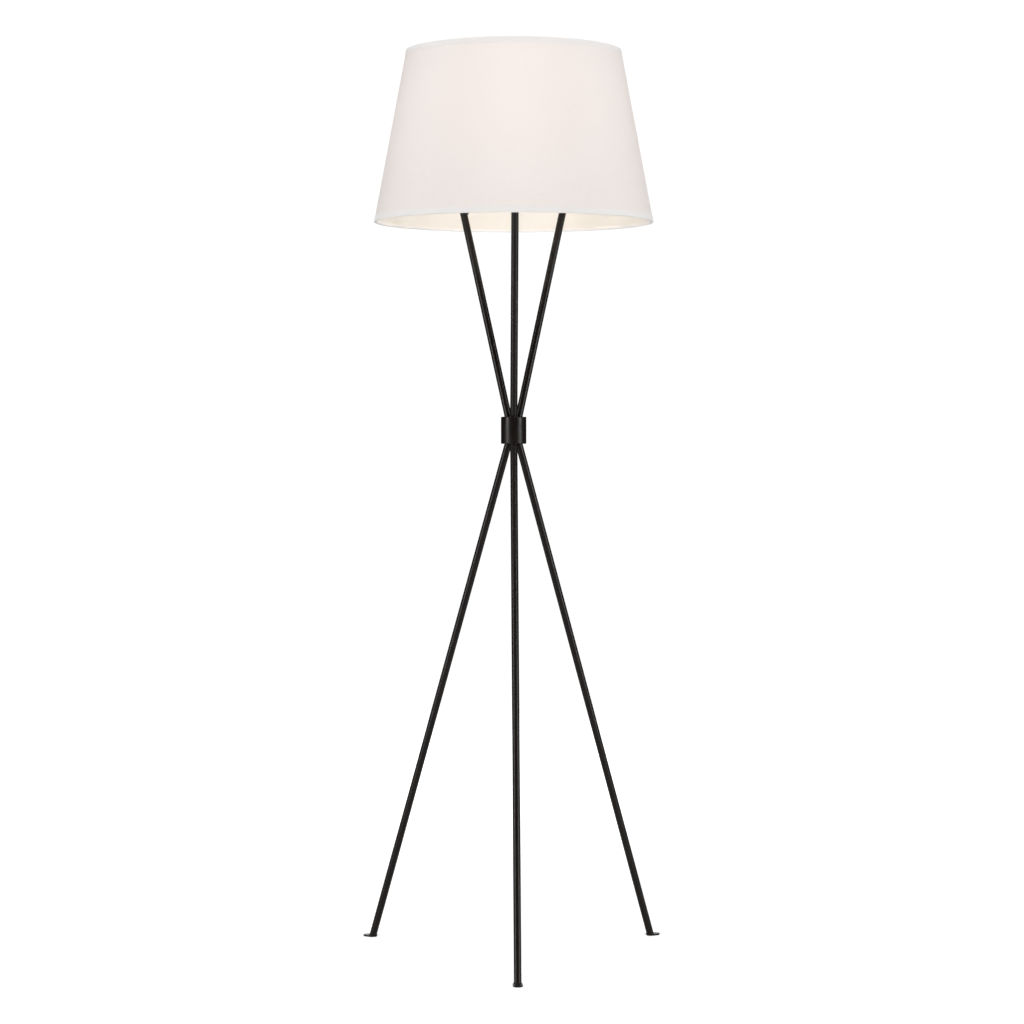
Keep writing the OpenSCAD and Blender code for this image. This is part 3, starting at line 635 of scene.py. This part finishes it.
@dataclass(frozen=True)
class Linen(Finish):
    """Woven linen: crossing threads of uneven thickness, slubs, and a painted glow that
    stands in for the bulb's light through the cloth.

    The painted glow is brightest where the wall is nearest the bulb, and at a height d from
    there it falls as (1 + (d / distance to the wall)^2)^falloff. It is a little less
    where the harp stands between, a painted shadow of the harp, and on the slubs, a
    painted shadow of the thicker yarn. Relief is how high threads and slubs stand, and
    dimming how much the gaps, slubs and patches darken the cloth; the darker gaps
    between threads are painted shade.
    """

    tone: Colour = (0.90, 0.895, 0.89)
    # The darker cloth colour: painted shade in the gaps between threads, and the slubs' and
    # patches' own tone
    shade: Colour = (0.84, 0.83, 0.82)
    satin: Pair = (0.78, 0.90)
    pitch: float = 0.00052
    thread_depth: float = 0.00007
    thread_grain: Pair = (55.0, 1100.0)
    stray: float = 0.0003
    slub_grain: Pair = (38.0, 640.0)
    slubs: Mottle = Mottle(1.0, 0.60, 0.74, 1.0, 0.5)
    patches: Mottle = Mottle(7.0, rough=0.5)
    seeds: Triple = (3.0, 11.0, 7.0)
    relief: Pair = (0.8, 0.9)
    dimming: Triple = (0.45, 0.35, 0.25)
    # The painted glow's colour: emission standing in for the bulb's light through the cloth
    warm: Colour = (0.252, 0.177, 0.145)
    glow_z: float = 1.470
    wall: float = 0.205
    falloff: float = -0.5
    # The next two dim the painted glow: a painted shadow of the harp towards ±X, and of the slubs
    harp_shadow: float = 0.26
    slub_shadow: float = 0.25

    def thread(self, g: Graph, along: Sock, across: Sock, seed: float) -> tuple[Sock, Sock]:
        """One set of threads.

        Args:
            g: The graph.
            along: Place along the threads.
            across: Place across them.
            seed: Shifts this set's unevenness from the other's.

        Returns:
            The threads' rounded height, and the slubs on them.
        """
        run, step = self.thread_grain
        uneven = g.noise(g.joined(along * run + seed, across * step, seed), 1.0)
        run, step = self.slub_grain
        spot = g.joined(along * run, across * step, seed + self.seeds[2])
        wave = ((across + uneven * self.stray) * (2 * math.pi / self.pitch)).ripple()
        return wave, self.slubs.mask(g, spot)

    def nodes(self, g: Graph) -> bpy.types.Material:
        """Two thread sets pass over and under each other; the painted glow follows height.

        Args:
            g: The graph to fill.

        Returns:
            The material.
        """
        u, v, _ = g.axes(g.cloth())
        warp, warp_slub = self.thread(g, v, u, self.seeds[0])
        weft, weft_slub = self.thread(g, u, v, self.seeds[1])
        turn = math.pi / self.pitch
        over = (u * turn).sine() * (v * turn).sine() * 0.5 + 0.5
        threads = warp * over + weft * (1 - over)
        slub = warp_slub.larger(weft_slub)
        patch = self.patches.mask(g, g.place())
        # Darker in the gaps between threads (painted shade in the weave's hollows) and on slubs
        # and patches (tone)
        gap_painted_shade, slub_dim, patch_dim = self.dimming
        dim = (1 - threads) * gap_painted_shade + slub * slub_dim + patch * patch_dim
        # Painted glow: emission that falls away from the bulb's height, with painted harp and slub
        # shadows
        x, y, z = g.axes(g.place())
        rise = (z - self.glow_z) / self.wall
        fall = (rise * rise + 1) ** self.falloff
        beside = x * x / (x * x + y * y)
        painted_glow = fall * (1 - self.harp_shadow * beside) * (1 - self.slub_shadow * slub)
        g.bump(threads * self.relief[0] + slub * self.relief[1], self.thread_depth, CLOTH_BUMP)
        return g.dress(
            Base_Color=g.blend(dim, self.tone, self.shade),
            Roughness=between(self.satin, threads),
            Specular_IOR_Level=0.25,
            Sheen_Weight=0.12,
            Emission_Color=g.blend(painted_glow, (0.0, 0.0, 0.0), self.warm),
            Emission_Strength=1.0,
        )


@dataclass(frozen=True)
class Film(Finish):
    """The stiff white film that lines the shade: faint ripple, and a painted glow for light
    through it.
    """

    tone: Colour = (0.84, 0.83, 0.805)
    aged: Colour = (0.82, 0.80, 0.765)
    # The next two colours are a painted glow, emission standing in for light through the film,
    # dimmer in cloudy patches
    painted_glow: Colour = (0.120, 0.113, 0.103)
    dim: Colour = (0.105, 0.097, 0.087)
    satin: Pair = (0.5, 0.6)
    clouds: Mottle = Mottle(9.0, 0.35, rough=0.5)
    ripples: float = 26.0
    fine_ripples: float = 520.0
    fine_share: float = 0.04
    ripple_depth: float = 0.0008

    def nodes(self, g: Graph) -> bpy.types.Material:
        """Slow noise tints it and its painted glow, and a finer one ripples it.

        Args:
            g: The graph to fill.

        Returns:
            The material.
        """
        at = g.place()
        cloud = self.clouds.mask(g, at)
        fine = g.noise(at, self.fine_ripples)
        g.bump(g.noise(at, self.ripples) + self.fine_share * fine, self.ripple_depth)
        return g.dress(
            Base_Color=g.blend(cloud, self.tone, self.aged),
            Roughness=between(self.satin, cloud),
            Specular_IOR_Level=0.3,
            Emission_Color=g.blend(cloud, self.painted_glow, self.dim),
            Emission_Strength=1.0,
        )


@dataclass(frozen=True)
class Tape(Finish):
    """Cotton rim tape with a painted glow for light through it: a close twill whose lines climb
    across its width.
    """

    tone: Colour = (0.83, 0.83, 0.83)
    # The darker colour, in the twill's hollows: painted shade
    shade: Colour = (0.75, 0.75, 0.75)
    pitch: float = 0.0007
    # The next two colours are a painted glow, emission for light through the tape, brighter on the
    # twill lines than between them
    painted_glow: Colour = (0.255, 0.234, 0.222)
    painted_glow_between_lines: Colour = (0.220, 0.202, 0.190)
    grain: Pair = (900.0, 300.0)
    stray: float = 0.0003
    twill_depth: float = 0.00008

    def nodes(self, g: Graph) -> bpy.types.Material:
        """Twill lines at 45 degrees, broken by thread noise; the hollows between lines get painted
        shade and a dimmer painted glow.

        Args:
            g: The graph to fill.

        Returns:
            The material.
        """
        u, v, _ = g.axes(g.cloth())
        broken = g.noise(g.joined(u * self.grain[0], v * self.grain[1]), 1.0)
        twill = ((u + v + broken * self.stray) * (2 * math.pi / self.pitch)).ripple()
        g.bump(twill, self.twill_depth, CLOTH_BUMP)
        return g.dress(
            # Darker in the twill's hollows (painted shade) and patchy with thread noise
            Base_Color=g.blend(twill * 0.5 + broken * 0.3, self.shade, self.tone),
            Roughness=0.85,
            Specular_IOR_Level=0.2,
            Sheen_Weight=0.1,
            Emission_Color=g.blend(twill, self.painted_glow_between_lines, self.painted_glow),
            Emission_Strength=1.0,
        )


FINISHES: dict[str, Finish] = {
    finish.name: finish for finish in (
        PowderCoat("dark_iron"),
        PowderCoat("black_screws", (0.010, 0.010, 0.010), (0.020, 0.019, 0.018), (0.3, 0.42)),
        Moulded("black_rubber", (0.012, 0.012, 0.012), (0.05, 0.048, 0.045), (0.68, 0.85)),
        BareMetal("plated_steel", (0.56, 0.55, 0.52), (0.38, 0.37, 0.34)),
        BareMetal("aged_brass", (0.52, 0.38, 0.17), (0.24, 0.16, 0.07), (0.26, 0.44),
                  (2400.0, 2400.0, 70.0)),
        BareMetal("socket_brass", (0.72, 0.54, 0.24), (0.45, 0.31, 0.12), (0.18, 0.34)),
        PowderCoat("black_metal", (0.008, 0.008, 0.008), (0.016, 0.015, 0.015), (0.3, 0.4)),
        Fibre("fibre_paper"),
        Moulded("black_plastic", (0.012, 0.012, 0.012), (0.04, 0.04, 0.04), (0.35, 0.5),
                2200.0, 0.00002),
        LitGlass("frosted_glass"),
        ClearGlass("clear_glass"),
        BareMetal("bulb_cap", (0.75, 0.75, 0.73), (0.55, 0.54, 0.52), (0.2, 0.36)),
        Linen("linen"),
        Film("shade_liner"),
        Tape("rim_tape"),
        PowderCoat("ring_wire", (0.66, 0.65, 0.62), (0.78, 0.77, 0.74), (0.35, 0.5), 0.5, 900.0),
    )
}


# --------------------------------------------------------------------------- pieces


@dataclass
class Assembly:
    """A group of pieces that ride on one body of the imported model."""

    body: str

    def settle(self, piece: bpy.types.Object, finish: str, *nodes: str) -> bpy.types.Object:
        """Dresses a new piece, rides it on the body and stands it for CAD nodes.

        Args:
            piece: The new piece.
            finish: The material slot that it takes its finish from.
            *nodes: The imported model's nodes that it replaces.

        Returns:
            The same piece.
        """
        piece.data.materials.clear()
        piece.data.materials.append(FINISHES[finish].material())
        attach(piece, self.body)
        if nodes:
            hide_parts(*nodes)
        LOG.info("made %s on %s in %s: %d faces", piece.name, self.body, finish,
                 len(piece.data.polygons))
        return piece


@dataclass
class Feet(Assembly):
    """The three toe plates with eased edges, and the weld bead round each leg."""

    edge: float = 0.7 * MM
    lean: float = math.radians(17.426)
    rod_r: float = 6.35 * MM
    bead_out: float = 1.5 * MM
    bead_up: float = 1.7 * MM
    bead_in: float = 0.7 * MM
    bead_sunk: float = 0.3 * MM
    bead_lip: float = 0.35 * MM
    bead_hollow: float = 1.25
    ripples: Waves = ((26, 0.09, 0.0), (3, 0.10, 0.4), (5, 0.05, 2.0))
    flat_ring: float = 2.2

    def plate(self, side: str) -> bpy.types.Object:
        """An oblong plate: an outline with round ends, carried up an eased edge.

        Each ring of the grid is the plate's middle line, offset by half the width
        less the edge's inset at that height; the two ends are closed flat.

        Args:
            side: Which foot.

        Returns:
            The piece.
        """
        low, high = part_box("toe_plate_front")
        half_w = (high.x - low.x) / 2
        reach = (high.y - low.y) / 2 - half_w
        middle = -(low.y + high.y) / 2
        t = np.linspace(0, math.pi / 2, 6)
        round_in, round_up = self.edge * (1 - np.sin(t)), self.edge * (1 - np.cos(t))
        flat_in = self.flat_ring * self.edge
        inset = np.concatenate([[flat_in], round_in, round_in[::-1], [flat_in]])
        height = np.concatenate([[low.z], low.z + round_up, high.z - round_up[::-1], [high.z]])
        a = around(72)
        x = middle + reach * np.sign(np.cos(a)) + (half_w - inset[:, None]) * np.cos(a)
        y = (half_w - inset[:, None]) * np.sin(a)
        points = np.stack([x, y, np.broadcast_to(height[:, None], x.shape)], -1)
        surface = Surface(spun(points, SIDES[side]), Loop.COLUMNS, cap_ends=True)
        node = f"toe_plate_{side}"
        return self.settle(surface.build(f"{node}_eased"), "dark_iron", node)

    def bead(self, side: str) -> bpy.types.Object:
        """A weld bead: a hollow-cornered ring with ripples round the leaning leg.

        A ring at angle a and height h is the leg's level cut, an oval of half axes
        r / cos(lean) and r, moved back by h tan(lean); the bead's outline is carried
        round it, and its reach swells with each ripple.

        Args:
            side: Which foot.

        Returns:
            The piece.
        """
        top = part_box("toe_plate_front")[1].z
        oval = self.rod_r / math.cos(self.lean)
        centre = -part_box("leg_front")[0].y - oval
        a = around(168)
        ripple = 1 + wavy(a, self.ripples)
        t = np.linspace(0, math.pi / 2, 9)
        hollow_out, hollow_up = ((1 - wave(t)) ** self.bead_hollow for wave in (np.sin, np.cos))
        out = np.concatenate([
            [-self.bead_in, self.bead_out], self.bead_out * hollow_out, [-self.bead_in]])[:, None]
        up = np.concatenate([
            [-self.bead_sunk, -self.bead_sunk], self.bead_lip + self.bead_up * hollow_up,
            [self.bead_up + self.bead_lip]])[:, None]
        reach = np.where(out > 0, out * ripple, out)
        rise = np.where(up > 0.5 * MM, up * ripple, up)
        x = centre - rise * math.tan(self.lean) + (oval + reach) * np.cos(a)
        y = (self.rod_r + reach) * np.sin(a)
        points = np.stack([x, y, top + rise], -1)
        surface = Surface(spun(points, SIDES[side]), Loop.BOTH)
        return self.settle(surface.build(f"weld_bead_{side}"), "dark_iron")

    def build(self) -> None:
        """Makes the plates and beads of all three feet."""
        for side in SIDES:
            self.plate(side)
            self.bead(side)


@dataclass
class Hub(Assembly):
    """The hub's outer sleeve, with eased rims and its two grub-screw holes."""

    wall: float = 2.0 * MM
    rim: float = 1.5 * MM
    inner: float = 0.5 * MM
    hole_r: float = 2.05 * MM
    hole_drop: float = 7.35 * MM

    def build(self) -> None:
        """Turns the sleeve's rounded outline and cuts the holes through its back."""
        low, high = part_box("hub_sleeve")
        r = high.x
        bore = r - self.wall
        loop = rounded_loop([
            (bore, low.z, self.inner), (r, low.z, self.rim),
            (r, high.z, self.rim), (bore, high.z, self.inner)])
        points = turned(loop[:, :1], loop[:, 1:], around(192))
        sleeve = Surface(points, Loop.BOTH, flip=True).build("hub_sleeve_eased")
        for z in (low.z + self.hole_drop, high.z - self.hole_drop):
            self.drill(sleeve, r, z)
        self.settle(sleeve, "dark_iron", "hub_sleeve")

    def drill(self, sleeve: bpy.types.Object, r: float, z: float) -> None:
        """Cuts one hole along +Y through the sleeve's back wall.

        Args:
            sleeve: The piece to cut.
            r: The sleeve's outer radius.
            z: The hole's height.
        """
        a = around(32)
        y = np.array([r - 3 * self.wall, r + self.wall])[:, None]
        points = np.stack(np.broadcast_arrays(
            self.hole_r * np.cos(a), y, z + self.hole_r * np.sin(a)), -1)
        tool = Surface(points, Loop.COLUMNS, cap_ends=True, flip=True).build("drill", False)
        cut = sleeve.modifiers.new("hole", "BOOLEAN")
        cut.operation, cut.solver, cut.object = "DIFFERENCE", "EXACT", tool
        graph = bpy.context.evaluated_depsgraph_get()
        solid = bpy.data.meshes.new_from_object(sleeve.evaluated_get(graph))
        sleeve.modifiers.clear()
        sleeve.data = solid
        bpy.data.objects.remove(tool)


@dataclass
class Shade(Assembly):
    """The tapered shade: linen cover, film liner and the two folded rim tapes.

    Every layer is one wall: the cone's radius at a height, less the layer's depth,
    plus a shared slow waviness and the lap of the seam at the back, so that the
    layers stay nested.
    """

    bottom_d: float = 482.6 * MM
    top_d: float = 371.0 * MM
    cover_t: float = 0.8 * MM
    liner_t: float = 0.6 * MM
    tape_t: float = 0.5 * MM
    tape_h: float = 10.0 * MM
    tape_in_h: float = 5.0 * MM
    wire_d: float = 3.2 * MM
    lap_w: float = 12.0 * MM
    lap_t: float = 0.55 * MM
    lap_step: float = 0.0036
    lap_fade: Pair = (0.4, 2.2)
    low_waves: Waves = ((2, 0.55, 0.6), (3, 0.40, 2.1), (5, 0.18, 4.0))
    top_waves: Waves = ((2, 0.40, 2.4), (3, 0.30, 0.2), (6, 0.12, 1.1))
    tape_waves: Waves = ((7, 0.16, 0.3), (11, 0.12, 1.9), (17, 0.09, 4.4), (31, 0.05, 0.9))
    inset: float = 0.3 * MM
    gap: float = 0.1 * MM
    columns: int = 288
    low: float = field(init=False)
    high: float = field(init=False)

    def __post_init__(self) -> None:
        """Takes the rims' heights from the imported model."""
        self.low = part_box("shade_bottom_tape")[0].z
        self.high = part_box("shade_top_tape")[1].z

    def share(self, z: np.ndarray) -> np.ndarray:
        """How far up the shade a height is: 0 at the bottom rim, 1 at the top rim."""
        return (z - self.low) / (self.high - self.low)

    def radius(self, z: np.ndarray) -> np.ndarray:
        """The plain cone's outer radius at a height."""
        return (self.bottom_d + (self.top_d - self.bottom_d) * self.share(z)) / 2

    def angles(self) -> np.ndarray:
        """Azimuths from the seam round to it, with extra ones beside the lap's two edges.

        Returns:
            The azimuths of the columns, in rising order.
        """
        step = np.array([0.0012, 0.0036, 0.0072])
        lap = self.lap_w / self.radius(np.array(self.low))
        extra = np.concatenate([step, 2 * math.pi - step, lap + np.array([-0.006, 0.0, 0.006])])
        return BACK + np.unique(np.concatenate([around(self.columns), extra]))

    def drift(self, angle: np.ndarray, z: np.ndarray) -> np.ndarray:
        """How far the wall strays from the cone.

        Slow waves round the shade that change from rim to rim, and the seam's lap,
        which rises at the panel's cut end and dies away past the lap's width.

        Args:
            angle: Azimuths, 1 x columns.
            z: Heights, rows x columns.

        Returns:
            Distances outwards, rows x columns.
        """
        share = self.share(z)
        low_wave, top_wave = (wavy(angle, w) * MM for w in (self.low_waves, self.top_waves))
        past = angle - BACK
        width = self.lap_w / self.radius(z)
        fade = smooth_step(*self.lap_fade, past / width)
        lap = smooth_step(0.0, self.lap_step, past) * (1 - fade)
        return low_wave * (1 - share) + top_wave * share + self.lap_t * lap - self.inset

    def wall(self, offsets: np.ndarray, z: np.ndarray, angle: np.ndarray) -> np.ndarray:
        """Points at distances outside the cone: rows x columns x 3.

        Args:
            offsets: Each row's distance outside the cone.
            z: Heights, rows x columns.
            angle: Each column's azimuth.

        Returns:
            The points.
        """
        r = self.radius(z) + self.drift(angle[None, :], z) + offsets[:, None]
        return turned(r, z, angle)

    def skin(self, name: str, outer: float, inner: float, finish: str,
             node: str, rows: int = 36) -> bpy.types.Object:
        """A layer between two depths, from edge to edge, with rounded cut edges.

        Its flat coordinates are the unrolled cone's: a point at slant R from the
        cone's tip and azimuth a goes to angle p = a sin(half cone angle), at
        (R sin p, R cos p), so the threads run true in the flat panel.

        Args:
            name: The piece's name.
            outer: The outer face's distance outside the cone.
            inner: The inner face's.
            finish: The finish's name.
            node: The node that it replaces.
            rows: Rows of points from edge to edge.

        Returns:
            The piece.
        """
        z_low, z_high = self.low + self.tape_t, self.high - self.tape_t
        up = np.linspace(z_low, z_high, rows)
        mid = (outer + inner) / 2
        ease = abs(outer - inner) / 2
        offsets = np.concatenate([[mid], np.full(rows, outer), [mid], np.full(rows, inner)])
        heights = np.concatenate([[z_low], up, [z_high], up[::-1]])
        heights[1] += ease
        heights[rows] -= ease
        heights[rows + 2] -= ease
        heights[-1] += ease
        angle = self.angles()
        points = self.wall(offsets, heights[:, None] + 0 * angle[None, :], angle)
        taper = (self.bottom_d - self.top_d) / 2
        sine = taper / math.hypot(taper, self.high - self.low)
        turn = np.append(angle, BACK + 2 * math.pi)[None, :] - BACK - math.pi
        slant = (self.radius(np.append(heights, heights[0])) / sine)[:, None]
        uv = np.stack([slant * np.sin(turn * sine), slant * np.cos(turn * sine)], -1)
        piece = Surface(points, Loop.BOTH, uv, flip=True).build(name)
        return self.settle(piece, finish, node)

    def tape(self, name: str, rim: float, inward: int, node: str) -> bpy.types.Object:
        """A tape folded over a rim: outer leaf, rolled edge and inner leaf.

        Its outline is a U with rounded corners, laid over the cover outside and over
        the ring inside. Slow waves make its edges a little uneven, as when glued.

        Args:
            name: The piece's name.
            rim: The rim's height.
            inward: 1 where the leaves rise from the rim, -1 where they fall.
            node: The node that it replaces.

        Returns:
            The piece.
        """
        t, gap = self.tape_t, self.gap
        back = t + self.cover_t + self.liner_t + self.wire_d + 2 * gap
        cut, corner, outer_roll, inner_roll = 0.2 * t, 0.45 * t, 1.1 * MM, 0.9 * MM
        outline = rounded_loop([
            (0.0, 0.0, outer_roll), (0.0, self.tape_h, cut), (-t + gap, self.tape_h, cut),
            (-t, t, corner), (-back, t, corner), (-back, self.tape_in_h, cut),
            (-back - t, self.tape_in_h, cut), (-back - t, 0.0, inner_roll)], 4)
        if inward < 0:
            outline = outline[::-1]
        angle = self.angles()
        rise = outline[:, 1]
        leaf = smooth_step(0.6 * self.tape_in_h, self.tape_in_h, rise)[:, None]
        z = rim + inward * (rise[:, None] + leaf * wavy(angle, self.tape_waves) * MM)
        points = self.wall(outline[:, 0], z, angle)
        walk = np.linalg.norm(np.diff(outline, axis=0, append=outline[:1]), axis=1)
        along = (np.append(angle, BACK + 2 * math.pi) - BACK) * self.radius(np.array(rim))
        across = np.concatenate([[0.0], np.cumsum(walk)])
        uv = np.stack(np.meshgrid(along, across), -1)
        piece = Surface(points, Loop.BOTH, uv, flip=True).build(name)
        return self.settle(piece, "rim_tape", node)

    def build(self) -> None:
        outer = -self.tape_t
        liner = outer - self.cover_t
        cover = self.skin("linen_cover", outer, liner, "linen", "shade_cover")
        self.skin("film_liner", liner, liner - self.liner_t, "shade_liner", "shade_liner")
        top = self.tape("top_rim_tape", self.high, -1, "shade_top_tape")
        bottom = self.tape("bottom_rim_tape", self.low, 1, "shade_bottom_tape")


# --------------------------------------------------------------------------- studio


@dataclass(frozen=True)
class SoftLight:
    """An area light that faces a point: metres, and watts."""

    name: str
    at: Point
    size: Pair
    power: float
    tint: Colour
    towards: Point = (0.0, 0.0, 1.2)

    def hang(self) -> None:
        """Puts the light in the scene, turned so that its face looks at the point."""
        data = bpy.data.lights.new(self.name, "AREA")
        data.shape, data.size, data.size_y = "RECTANGLE", *self.size
        data.energy, data.color = self.power, self.tint
        light = bpy.data.objects.new(self.name, data)
        light.location = self.at
        away = np.array(self.towards) - np.array(self.at)
        flat = math.hypot(away[0], away[1])
        light.rotation_euler = (
            math.atan2(flat, -away[2]), 0.0, math.atan2(away[1], away[0]) - math.pi / 2)
        bpy.context.scene.collection.objects.link(light)


@dataclass
class Studio:
    """Pale floor, white surroundings, five soft lights and the camera."""

    lens: float = 96.0
    sensor: float = 36.0
    eye: Point = (-0.1095, -4.726, 0.9235)
    pitch: float = 1.915
    aim: float = -1.2926
    floor_size: float = 14.0
    floor_pale: tuple[Colour, Colour] = ((0.90, 0.90, 0.90), (0.93, 0.93, 0.93))
    floor_dull: Colour = (0.58, 0.58, 0.58)
    floor_white: Pair = (0.50, 1.0)
    floor_fade: Pair = (0.5, 2.4)
    floor_bounce: float = 0.05
    surround: float = 0.04
    backdrop: float = 1.05
    box_angle: float = 60.0
    box_far: float = 3.3
    box_up: float = 1.05
    box_size: Pair = (0.85, 2.3)
    box_power: float = 46.0
    others: tuple[SoftLight, ...] = (
        SoftLight("front_fill", (0.0, -2.5, 4.8), (1.6, 1.6), 70.0, (1.0, 0.99, 0.98)),
        SoftLight("top_light", (0.0, 0.4, 3.6), (3.0, 3.0), 28.0, (0.97, 0.985, 1.0),
                  (0.0, 0.0, 0.8)),
        SoftLight("back_light", (0.0, 3.6, 1.9), (1.6, 1.6), 38.0, (0.99, 0.995, 1.0)),
    )

    def camera(self) -> None:
        """The camera at eye, looking along +Y, down by pitch, turned by aim (minus is right)."""
        data = bpy.data.cameras.new("camera")
        data.lens, data.sensor_width = self.lens, self.sensor
        data.clip_end = 100.0
        camera = bpy.data.objects.new("camera", data)
        camera.location = self.eye
        camera.rotation_euler = (math.radians(90 - self.pitch), 0.0, math.radians(self.aim))
        bpy.context.scene.collection.objects.link(camera)
        bpy.context.scene.camera = camera

    def floor(self) -> None:
        """A pale floor with a faint mottle that runs out to white away from the lamp."""
        g = Graph("floor")
        at = g.place()
        pale = g.blend(g.noise(at, 3.0, 3.0), *self.floor_pale)
        seen = g.add("ShaderNodeLightPath", output="Is Camera Ray")
        away = g.add("ShaderNodeVectorMath", {"operation": "LENGTH"}, {0: at}, "Value")
        white = between(self.floor_white, away.span(*self.floor_fade))
        material = g.dress(
            Base_Color=g.blend(seen, self.floor_dull, pale),
            Roughness=0.9,
            Specular_IOR_Level=0.0,
            Emission_Color=(1.0, 1.0, 1.0),
            Emission_Strength=seen * white + (1 - seen) * self.floor_bounce,
        )
        line = np.linspace(-self.floor_size / 2, self.floor_size / 2, 9)
        x, y = np.meshgrid(line, line)
        plane = Surface(np.stack([x, y, 0 * x], -1), Loop.NONE).build("floor", False)
        plane.data.materials.append(material)

    def light(self) -> None:
        """Two tall soft boxes beside the camera, then the fill, top and back lights."""
        turn = math.radians(self.box_angle)
        ahead = -self.box_far * math.cos(turn)
        for name, sign in (("box_left", -1), ("box_right", 1)):
            at = (sign * self.box_far * math.sin(turn), ahead, self.box_up)
            SoftLight(name, at, self.box_size, self.box_power, (1.0, 0.995, 0.985),
                      (0.0, 0.0, 1.0)).hang()
        for light in self.others:
            light.hang()

    def surroundings(self) -> None:
        """White behind the object; dimmer for what the object mirrors and gathers."""
        scene = bpy.context.scene
        world = bpy.data.worlds.new("surroundings")
        world.use_nodes = True
        tree = world.node_tree
        seen = tree.nodes.new("ShaderNodeLightPath").outputs["Is Camera Ray"]
        share = tree.nodes.new("ShaderNodeMapRange")
        share.inputs["To Min"].default_value = self.surround
        share.inputs["To Max"].default_value = self.backdrop
        tree.links.new(seen, share.inputs["Value"])
        tree.nodes["Background"].inputs["Color"].default_value = (1, 1, 1, 1)
        tree.links.new(share.outputs[0], tree.nodes["Background"].inputs["Strength"])
        scene.world = world
        scene.view_settings.view_transform = "Standard"

    def build(self) -> None:
        """Sets up the whole studio."""
        self.camera()
        self.floor()
        self.light()
        self.surroundings()


def dress_carried(nodes: Mapping[str, bpy.types.Object], record: Mapping[str, Any]) -> None:
    """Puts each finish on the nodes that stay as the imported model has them.

    Args:
        nodes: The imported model's objects by name.
        record: Its record, which names each node's material slot.
    """
    for part in record["subparts"]:
        node = nodes[part["node"]]
        if node.hide_render:
            continue
        finish = FINISHES[part["material_slot"]].material()
        if not node.material_slots:
            node.data.materials.append(finish)
        for slot in node.material_slots:
            slot.material = finish
        LOG.info("dressed %s in %s", node.name, finish.name)


def main() -> None:
    """Builds the studio and each sub-assembly."""
    logging.basicConfig(level=logging.INFO, format="%(name)s: %(message)s")
    Studio().build()
    Feet("stand").build()
    Hub("stand").build()
    Shade("shade").build()
    dress_carried(frame["nodes"], frame["record"])


if __name__ == "__main__":
    main()
